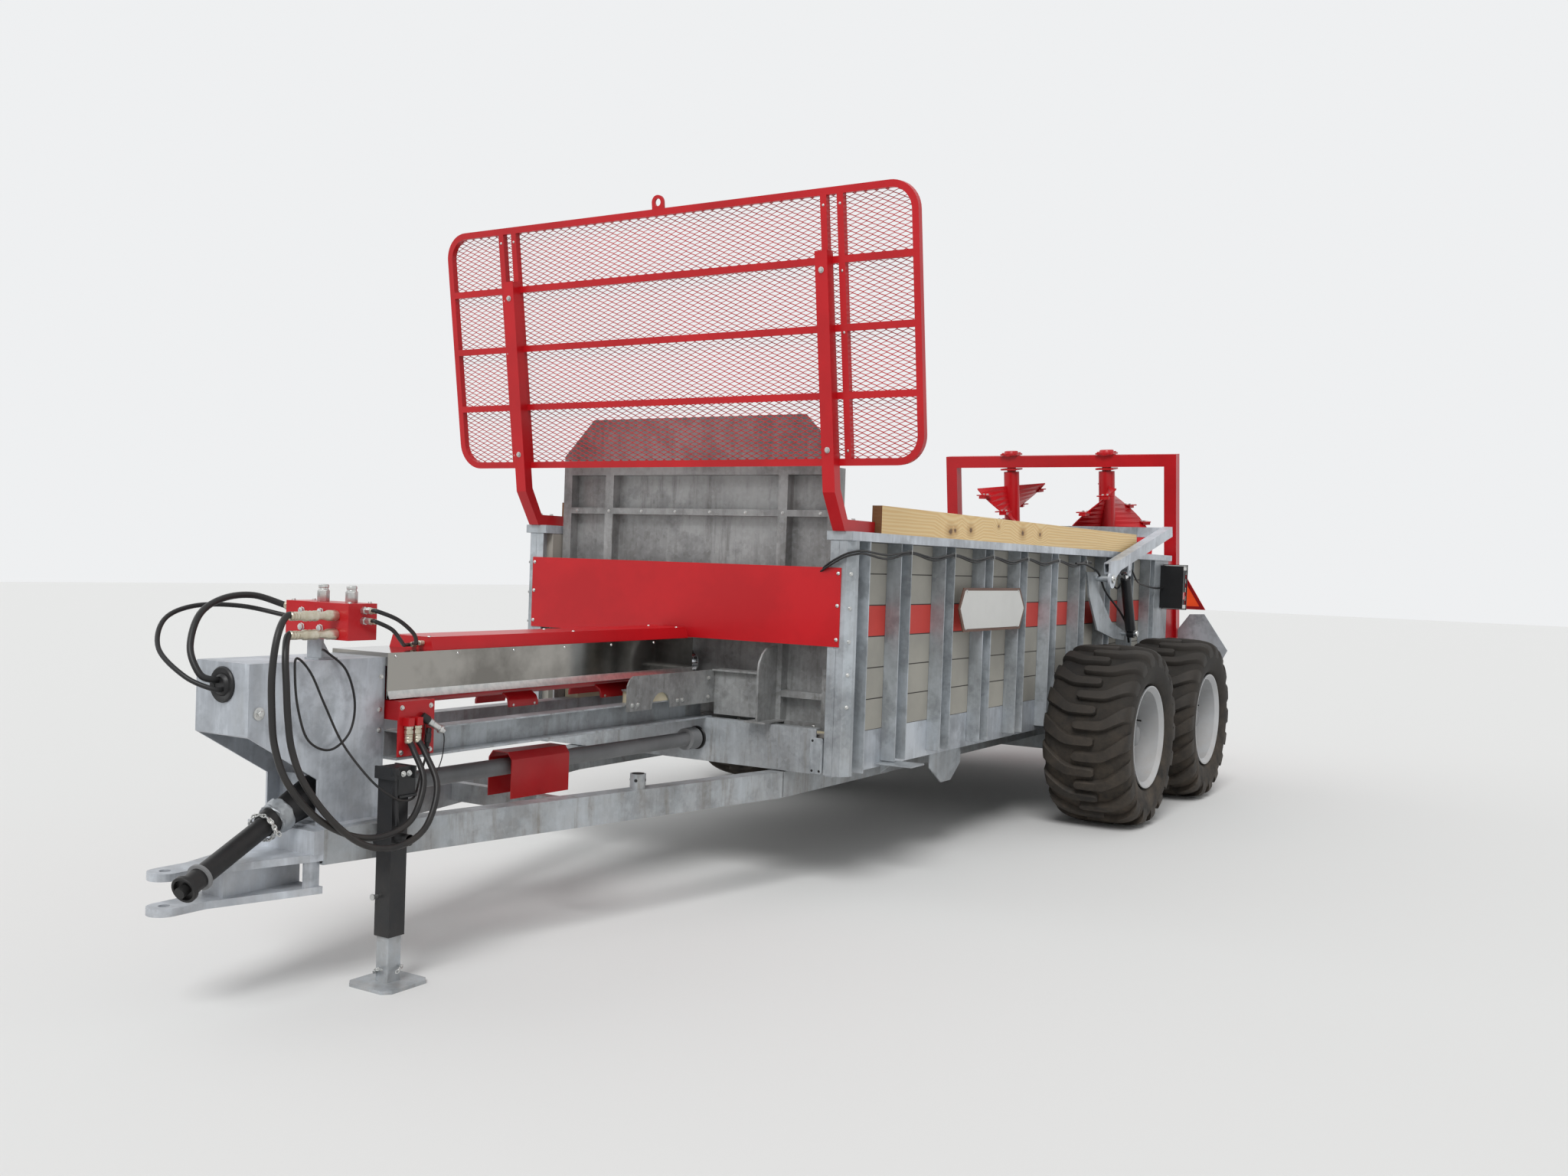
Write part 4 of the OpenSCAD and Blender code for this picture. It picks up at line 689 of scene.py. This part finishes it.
ferrules += [lathe((218, y, 835), UP, HEXAGON, 6) for y in (-1905, -1865)]
piece("hose_ferrules", ferrules, "yellow_zinc")


# The red ported plate is bolted on by its corners and carries a spare lighting socket: a plated body
# with a black cap on a lanyard.
def tube(points, radius, sides=10):
    """A round bar bent along a row of points."""
    points, rings, u = [Vector(p) for p in points], [], None
    for i, p in enumerate(points):
        t = (points[min(i + 1, len(points) - 1)] - points[max(i - 1, 0)]).normalized()
        u = t.orthogonal().normalized() if u is None else (u - t * u.dot(t)).normalized()
        rings += [p + (u * math.cos(a) + t.cross(u) * math.sin(a)) * radius for a in round_turn(sides)]
    return rings, skin(len(points), sides)


SOCKET_AT, SOCKET_AXIS = (210, -1831, 886), (40, 67, -55)
SOCKET_BODY = [(24, 10), (26, 14), (40, 14), (42, 12), (70, 12), (72, 16), (80, 16), (82, 11), (92, 9)]
SOCKET_CAP = [(-8, 12), (-6, 16), (20, 16), (24, 13)]
LANYARD = [(240, -1780, 850), (254, -1772, 815), (252, -1780, 736), (247, -1812, 684), (232, -1820, 760),
           (214, -1829, 862)]
black_parts = [lathe(SOCKET_AT, SOCKET_AXIS, SOCKET_CAP), tube(smooth(LANYARD, 6), 2, 6)]
piece("spare_socket", [lathe(SOCKET_AT, SOCKET_AXIS, SOCKET_BODY, 18)] + in_finish(1, black_parts),
      "zinc black_plastic")
piece("ported_plate_bolts", bolts([(203, y, z) for y in (-1925, -1790) for z in (925, 770)], LEFT, 7),
      "zinc")

# The drop-leg jack: a black square tube, a crank rod down its side, a bracket strap and a clamp plate
# to the tongue, and a short chain with its pin round the plated inner leg.
CRANK_ROD = [(309, -2045, 722), (309, -2043, 660), (309, -2038, 600), (309, -2033, 546)]
CRANK_HUB = [(0, 13), (3, 15), (20, 15), (24, 12)]
JACK_PIN = [(-90, 8), (10, 8), (11, 11), (15, 11)]
jack_parts = [tube(smooth(CRANK_ROD, 4), 7), lathe((309, -2045, 716), UP, CRANK_HUB, 14),
              lathe((352, -2015, 500), RIGHT, [(0, 15), (0, 19), (60, 19)], 18)]
for x, y, z in (((222, 320), (-2058, -2050), (700, 742)), ((222, 320), (-1970, -1962), (700, 742)),
                ((297, 305), (-2050, -1970), (700, 742)), ((222, 312), (-2028, -1950), (637, 645)),
                ((296, 304), (-2028, -1950), (645, 739))):
    jack_parts.append(block(x, y, z))
jack_parts += in_finish(1, bolts([(320, -2022, 720), (320, -1996, 720)], LEFT, 8)
                        + [lathe((236, -2052, 300), AHEAD, JACK_PIN, 14)])
piece("jack_fittings", jack_parts, "black_paint zinc", bevel=0.8)
LINK_WIDTH = 0.62


def chain(route, wire, half):
    """Welded links along a row of points, each turned a quarter from the last, of that half length."""
    links, route = [], [Vector(p) for p in route]
    steps, step, carried = [], half * 2 - wire * 2, 0.0
    for a, b in zip(route, route[1:]):
        along, at = (b - a).normalized(), carried
        while at < (b - a).length:
            steps.append((a + along * at, along))
            at += step
        carried = at - (b - a).length
    for n, (centre, along) in enumerate(steps):
        side = along.orthogonal().normalized()
        side = side if n % 2 else along.cross(side)
        ring = [centre + along * math.cos(t) * half + side * math.sin(t) * half * LINK_WIDTH
                for t in round_turn(12, 13)]
        links.append(tube(ring, wire, 6))
    return links


foot_chain = [(262 + 44 * math.cos(a), -2010 + 44 * math.sin(a), 34 + 26 * abs(math.sin(a * 1.5 + 0.6)))
              for a in round_turn(22, 19)]
piece("jack_pin_chain", chain(foot_chain, 2.4, 8), "zinc")

# The drive shaft's guard: a wavy band of foil tape at its bell, a safety chain just ahead of it, and
# the splined shaft end that shows in the open tube.
TAPE = [(4, 50), (6, 52), (14, 51), (22, 53), (30, 55), (40, 57), (46, 58), (50, 56)]
TUBE_MOUTH = [(-2, 40), (-2, 43), (10, 43), (12, 41), (12, 34), (-1, 32)]
SPLINES = [(-20, 17), (20, 17), (22, 14)]
COLLAR = [(0, 41.5), (1, 43), (9, 43), (10, 41.5)]
shaft_tip, bell, bell_rear = Vector((150, -2714, 436)), Vector((50, -2336, 572)), Vector((32, -2165, 632))
shaft_axis, bell_axis = (bell - shaft_tip).normalized(), (bell_rear - bell).normalized()
tape = lathe(bell, bell_axis, TAPE, 30)
for n, p in enumerate(tape[0]):
    wave = 0.03 * math.sin(n * 2.4) * math.sin(n * 0.37) + 0.01
    p += (p - bell) * wave + bell_axis * 4 * math.sin(n * 1.7)
piece("guard_tape", [tape], "galvanised", angle=20)
u, v, w = across(shaft_axis)
loop = [bell - w * 42 + (u * math.cos(a) + v * math.sin(a)) * 46 for a in round_turn(16, 17)]
loop += [loop[-1] + Vector((10, 6, -16)) * k for k in range(1, 4)]
piece("guard_chain", chain(loop, 2.6, 9), "zinc")
grey_parts = [lathe(shaft_tip, -shaft_axis, SPLINES, 12),
              lathe(shaft_tip + shaft_axis * 60, shaft_axis, COLLAR, 26)]
piece("shaft_end", [lathe(shaft_tip, -shaft_axis, TUBE_MOUTH, 26)] + in_finish(1, grey_parts),
      "black_plastic grey_paint")

# The bright cover is a folded sheet of polished stainless steel. Its lower edges are hemmed and
# flare outwards, and pop rivets hold the red ridge and the hem.
HEM = [(138, 978), (141.5, 978), (143, 968), (153, 951), (151, 949.5), (140, 966)]
piece("cover_hem", both([prism("y", HEM, -1935, -101)]), "zinc")
rivets = [rivet((x, y, 1157), UP) for y in (-1694, -887, -160) for x in (-70, 88)]
rivets += both([rivet((140, y, 1098), LEFT, 6) for y in range(-1900, -100, 300)])
piece("cover_rivets", rivets, "zinc")

# The push cylinder rests in two cradles of folded plate, painted red and bolted to the ties of the
# slide rails. Their lips lie against the barrel from both sides.
CRADLE = [(92, 886), (92, 870), (84, 870), (76, 902), (50, 918), (54, 925), (82, 908)]
cradles = both([prism("y", CRADLE, front, rear) for front, rear in ((-1262, -1096), (-693, -404))])
cradles += in_finish(1, bolts([(88, y, 878) for y in (-1240, -1118, -671, -426)], LEFT, 6))
piece("cylinder_cradles", cradles, "red_paint zinc", bevel=1.0)

# The front corner posts are folded from plate: a narrow front face, a bevelled one with five bolts,
# an open recess and a rear flange. The rear ones are channels. Caps close the top rail's front end,
# and a rolled channel end shows beside each front post's foot. Its drain holes are thin black discs,
# painted shade for the dark inside of each hole.
FOLD = [(862, -50), (903, -50), (930, -14), (930, 14), (846, 14), (846, 8), (924, 8), (924, -11),
        (900, -44), (862, -44)]
FOLD_REAR = [(840, -44), (846, -44), (846, 116), (930, 116), (930, 123), (840, 123)]
REAR_POST = [(840, 4540), (905, 4540), (905, 4880), (840, 4880), (840, 4874), (899, 4874), (899, 4546),
             (840, 4546)]
CHANNEL_END = [(758, 556), (764, 549), (812, 549), (818, 556), (818, 700), (812, 707), (764, 707),
               (758, 700)]
CORNER_FOOT, SILL_TOP, POST_TOP, CAP_TOP = 545, 560, 1576, 1616
corner = [prism("z", FOLD, CORNER_FOOT, POST_TOP), prism("z", FOLD_REAR, CORNER_FOOT, POST_TOP),
          prism("z", REAR_POST, SILL_TOP, POST_TOP), prism("y", CHANNEL_END, -62, -50.3),
          block((802, 929), (-54, -50.2), (POST_TOP, CAP_TOP)),
          block((820, 866), (-50, -44), (CORNER_FOOT, POST_TOP))]
piece("corner_posts_folded", both(corner), "galvanised", stands_for=["corner_posts"],
      bevel=1.5)
# The drain holes are thin black discs: painted shade for the dark inside of each hole.
drain_hole_shade = [lathe((x, -62, z), AHEAD, [(0, 6), (0.6, 5.5)], 12)
         for x, z in ((770, 694), (770, 562), (806, 562))]
corner_bolts = bolts([(916.5, -32, z) for z in (1430, 1280, 1135, 990, 849)], (36, -27, 0), 7)
piece("corner_bolts", both(corner_bolts + in_finish(1, drain_hole_shade)), "zinc black_plastic")

# The red front board is a sheet that is bolted to the corner posts along its two ends, with round
# heads.
piece("front_board_bolts", [rivet((x, -55, z), AHEAD, 9) for x in (-866, 866) for z in (1142, 1290, 1431)],
      "zinc")

# The sign on the left side is a plain cut plate on spacers, off-white with a dark brown edge, held to
# two posts by four bolts. It stays blank.
SIGN = [(1167, 1373), (1931, 1373), (2010, 1262), (1945, 1147), (1174, 1147), (1110, 1265)]
FACE_LENGTH, FACE_HEIGHT = 0.955, 0.87
middle_y, middle_z = (sum(places) / len(SIGN) for places in zip(*SIGN))
face = [(middle_y + (y - middle_y) * FACE_LENGTH, middle_z + (z - middle_z) * FACE_HEIGHT) for y, z in SIGN]
sign_parts = [prism("x", SIGN, 916, 922)] + in_finish(1, [prism("x", face, 921, 924)])
sign_parts += in_finish(2, bolts([(922, y, z) for y in (1200, 1900) for z in (1356, 1164)], LEFT, 6))
piece("side_sign", sign_parts, "brown_sheet white_sheet zinc", bevel=0.6)

# A pointed foot of thick plate hangs below each sill, and a small step plate juts out beside it on a
# three-cornered bracket.
FOOT = [(1014, 545), (1019, 461), (1158, 374), (1271, 374), (1389, 455), (1384, 545)]
STEP_BRACKET = [(838, 548), (838, 500), (900, 548)]
feet = [prism("x", FOOT, 828, 838), prism("y", STEP_BRACKET, 464, 472),
        block((838, 1030), (400, 540), (548, 555))]
piece("sill_feet", both(feet), "galvanised", bevel=1.2)

# The push gate's carriage plates and its lowest and highest ribs are held by plated bolts; these
# move with the gate.
CARRIAGE_BOLTS = [(-628, 842), (-588, 842), (-300, 842), (-262, 842), (-60, 842), (-60, 930), (20, 930)]
gate_bolts = both(bolts([(206, y, z) for y, z in CARRIAGE_BOLTS], LEFT, 8))
for z, size in ((737, 7), (1695, 6)):
    gate_bolts += bolts([(x, 60, z) for x in range(-700, 701, 200)], AHEAD, size)
piece("gate_bolts", gate_bolts, "zinc", "gate")

# The drive line passes the front beam in a black rubber seal, and the stub on the tongue's left rail
# is a short open pipe with four cross holes. Thin black discs across its open top and in each hole
# are painted shade for the dark inside of the pipe.
SEAL = [(0, 52), (4, 54), (8, 50), (8, 40), (3, 32)]
seal_and_pipe_shade_parts = [lathe((145, -50, 648), AHEAD, SEAL, 32),
              lathe((416, -850, 601), UP, [(-1, 24), (0.6, 24)], 24)]
for turn in (0.4, 2.0, 3.5, 5.1):
    out = Vector((math.cos(turn), math.sin(turn), 0))
    seal_and_pipe_shade_parts.append(lathe(Vector((416, -850, 575)) + out * 31.6, out, [(0, 7), (0.8, 6.6)], 14))
piece("drive_seal_with_pipe_shade", seal_and_pipe_shade_parts, "black_plastic")

# Each side post is a rolled channel, its web on the boards and its two flanges outwards: their edges
# shine and the recess between them lies in the dark.
POST_Y = [515 + 493 * k for k in range(9)]
CHANNEL = [(840, -58), (915, -58), (915, -51), (848, -48), (848, 48), (915, 51), (915, 58), (840, 58)]
posts = [prism("z", [(x, post + y) for x, y in CHANNEL], SILL_TOP, POST_TOP) for post in POST_Y]
piece("side_post_channels", both(posts), "galvanised", stands_for=["side_posts"],
      bevel=2.0)

# Behind the front board the push gate is stiffened by two upright gussets with a rounded nose, on
# foot plates, and by shelves between them and the carriage; all of it moves with the gate.
GUSSET = [(62, 750), (-92, 750), (-96, 760), (-96, 980), (-88, 1020), (-62, 1058), (-30, 1082), (62, 1092)]
gussets = [prism("x", GUSSET, 490, 500), block((440, 550), (-112, 60), (748, 756)),
           block((206, 492), (-30, 62), (960, 968)), block((206, 492), (-8, 0), (760, 962))]
# The gussets wear the gate's zinc, whose darker tone is painted shade as well as stain.
piece("gate_gussets", both(gussets), "gate_zinc_stained_and_shaded", "gate", bevel=1.2)

# The lamp cables and a hydraulic line run along the left side under the top rail, tied at each post
# and slack between the ties. A hose leaves them for the gate's cylinder in one long bend, and a lead
# goes on to the tail lamp.
runs = []
for drop in (0, -12):
    route = [(760, -30 + drop, 1430), (814, -64 + drop / 4, 1468 + drop), (896, -68 + drop / 4, 1512 + drop),
             (942, -30, 1530 + drop), (943, 51, 1532 + drop), (938, 268, 1520 + drop * 1.5)]
    for a, b in zip(POST_Y[:5], POST_Y[1:6]):
        route += [(936, a, 1538 + drop / 2), (938, (a + b) / 2, 1516 + drop)]
    route += [(936, 2980, 1538 + drop / 2), (938, 3060, 1535 + drop / 2)]
    runs.append(tube(smooth(route, 5), 5, 8))
GATE_HOSE = [(938, 2780, 1524), (941, 2870, 1524), (945, 2969, 1518), (950, 3168, 1471), (952, 3290, 1372),
             (952, 3409, 1314), (950, 3629, 1224), (948, 3785, 1132), (945, 3870, 1012)]
LAMP_LEAD = [(942, 3342, 1438), (944, 3472, 1399), (944, 3603, 1379), (942, 3766, 1482), (940, 3851, 1518),
             (938, 4000, 1436), (936, 4097, 1409), (934, 4293, 1388), (930, 4494, 1377), (925, 4700, 1380)]
for name, radius, route in (("gate_hose_run", 7, GATE_HOSE), ("lamp_lead_run", 6, LAMP_LEAD)):
    run, line, length = free_run(name, radius, route)
ties = [tube([(922, y - 9, 1545), (944, y - 9, 1546), (945, y - 9, 1522), (922, y - 9, 1520)], 2.4, 6)
        for y in POST_Y[:6]]
piece("side_lines", runs + in_finish(1, ties), "hose_rubber zinc")

# The leaning guard is bolted and riveted to its posts, and each post's foot is bolted to the heel
# plate on the top rail.
guard_bolts = bolts([(x, -50, z) for x in (-868, 868) for z in (70, 821)], AHEAD, 10)
guard_bolts += [rivet((x, 0, z), AHEAD, 6) for x in (-940, -860, 860, 940) for z in (64, 560, 815, 1090)]
heel_bolts = bolts([(x, y, 1666) for x in (-868, 868) for y in (-20, 60)], UP)
piece("guard_bolts", placed(at_guard, guard_bolts) + heel_bolts, "zinc")

# The beaters: each flight carries bolted knife plates with a toothed edge, and their shafts run in
# flange bearings on the frame's top beam, four bolts each, all in red.
BEATER_TOP, SHAFT = (4950, 2325), 385
FLIGHT_FOOT, FLIGHT_RISE, FLIGHT_TURN, KNIVES = -1554.3, 1354.3, 300, 11
TOOTHED = [(300, -34), (300, 34), (336, 60), (356, 64), (366, 46), (352, 38), (369, 24), (353, 14), (371, 2),
           (353, -8), (369, -20), (352, -32), (366, -44), (352, -62), (336, -60)]
FLANGE = [(-70, -56), (-56, -70), (56, -70), (70, -56), (70, 56), (56, 70), (-56, 70), (-70, 56)]
HOUSING = [(0, 58), (8, 56), (20, 50), (22, 42), (22, 37)]


def at_beater(x, y, z):
    """From the beater frame's leaning plane, its origin at the middle of the top beam."""
    return leaning(BEATER_TOP, x, y, z)


for side, hand in SIDES:
    knives, heads = [], []
    for start in (0, 180):
        for k in range(KNIVES):
            share = (k + 0.5) / KNIVES
            turn = math.radians(start + FLIGHT_TURN * share)
            height = FLIGHT_FOOT + FLIGHT_RISE * share

            def around(u, v, z, turn=turn):
                """From a knife that points out from the shaft at this turn."""
                return at_beater(side * (SHAFT + u * math.cos(turn) - v * math.sin(turn)),
                                 u * math.sin(turn) + v * math.cos(turn), z)
            knives += placed(around, [prism("z", TOOTHED, height + 16.3, height + 24)])
            heads += placed(around, bolts([(322, v, height + 24) for v in (-18, 18)], UP))
    piece(f"beater_{hand}_knives", knives + in_finish(1, heads), "red_paint zinc", f"{hand}_beater")
bearings = []
for middle in (-SHAFT, SHAFT):
    bearings += [prism("z", [(middle + x, y) for x, y in FLANGE], low, low + 12) for low in (50, -66)]
    bearings += [lathe((middle, 0, 62), UP, HOUSING, 28)]
    bearings += bolts([(middle + x, y, 62) for x in (-50, 50) for y in (-50, 50)], UP)
piece("beater_bearings", placed(at_beater, bearings), "red_paint", bevel=1.0)


# The tail lamps are black boxes with a pale edge, three lenses to the rear, and a striped side
# reflector; the orange triangle beside the left one has a dark red border.
def lens(name, deep, bright):
    """Moulded lens plastic: glossy, with small prisms in a second tone."""
    tree, shader = finish(name, 0.15, coat=0.6)
    prisms = add(tree, "TexVoronoi", {"Vector": here(tree), "Scale": 190.0}).outputs["Distance"]
    tree.links.new(blend(tree, prisms, deep, bright), shader.inputs["Base Color"])
    bump(tree, shader, prisms, 0.001, 0.6)


lens("lens_red", (0.42, 0.01, 0.012), (0.62, 0.03, 0.03))
lens("lens_amber", (0.75, 0.22, 0.01), (0.85, 0.32, 0.03))
LENS = [(927, 4764), (1048, 4764), (1042, 4771), (933, 4771)]
STRIPE_FOOT, STRIPE_TOP, STRIPE = 1262, 1510, 31
lenses = []
for number, foot in ((0, 1247), (1, 1352), (0, 1457)):
    lenses += in_finish(number, [prism("z", LENS, foot, foot + 81)])
lenses += in_finish(0, [block((1066, 1071), (4700, 4752), (1300, 1352))])
lenses += in_finish(2, [block((908, 1074), (4758, 4769), (1228, 1234)),
                        block((908, 1074), (4758, 4769), (1540, 1546)),
                        block((1070, 1075), (4692, 4768), (1236, 1262)),
                        block((1070, 1075), (4692, 4768), (1510, 1536))])
for n, z in enumerate(range(STRIPE_FOOT, STRIPE_TOP, STRIPE)):
    lenses += in_finish(2 if n % 2 else 3, [block((1069, 1072), (4756, 4762), (z, z + STRIPE))])
piece("lamp_lenses", both(lenses), "lens_red lens_amber white_sheet red_paint", bevel=0.5)
TRIANGLE, TRIANGLE_MIDDLE, BORDER_INSIDE = [(768, -1120), (1118, -1120), (943, -817)], (943, -1019), 0.76
border = []
for a, b in zip(TRIANGLE, TRIANGLE[1:] + TRIANGLE[:1]):
    inner = [[m + (c - m) * BORDER_INSIDE for c, m in zip(p, TRIANGLE_MIDDLE)] for p in (b, a)]
    border += [prism("y", [a, b, *inner], front, rear) for front, rear in ((48.2, 50), (43, 44.8))]
piece("triangle_border", placed(at_beater, border), "deep_red")

# The wheels: ten nuts hold each pressed and welded rim to its hub, a domed cap closes the hub, and
# the tyre's valve stands out through the disc.
NUT = [(0, 17), (3, 17), (4, 14), (18, 14), (20, 12)]
STUD = [(18, 9), (32, 9), (33, 8)]
CAP = [(-1, 70), (3, 70), (5, 66), (10, 62), (22, 54), (28, 40), (30, 20), (31, 4)]
NUTS, NUT_CIRCLE = 10, 120
for side, hand in SIDES:
    for axle, end in AXLES:
        nuts = []
        for turn in round_turn(NUTS):
            centre = (side * (TRACK + 78), axle + NUT_CIRCLE * math.cos(turn),
                      TYRE_RADIUS + NUT_CIRCLE * math.sin(turn))
            nuts += [lathe(centre, (side, 0, 0), NUT, 6), lathe(centre, (side, 0, 0), STUD, 10)]
        cap = lathe((side * (TRACK + 134), axle, TYRE_RADIUS), (side, 0, 0), CAP, 30)
        valve = tube([(side * (TRACK + 60), axle + 232, TYRE_RADIUS + 70),
                      (side * (TRACK + 110), axle + 222, TYRE_RADIUS + 66)], 5, 8)
        piece(f"rim_{hand}_{end}_nuts", nuts + in_finish(1, [cap]) + in_finish(2, [valve]),
              "zinc grey_paint black_plastic", f"wheel_{hand}_{end}")

# The rear gate's arms turn on steel pins with bright heads, bolted from outside, and the feet of its
# cylinders turn on plain ones.
arm_pins = [lathe((1032, 3205, 1436), LEFT, [(0, 26), (4, 28), (9, 26), (11, 18)], 24)]
arm_pins += bolt((1043, 3205, 1436), LEFT, 10)
piece("gate_arm_pins", both(arm_pins), "zinc", "rear_gate")
piece("cylinder_foot_pins", both([lathe((1024, 3770, 1075), LEFT, [(0, 20), (3, 22), (8, 20)])]), "zinc")

low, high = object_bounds()
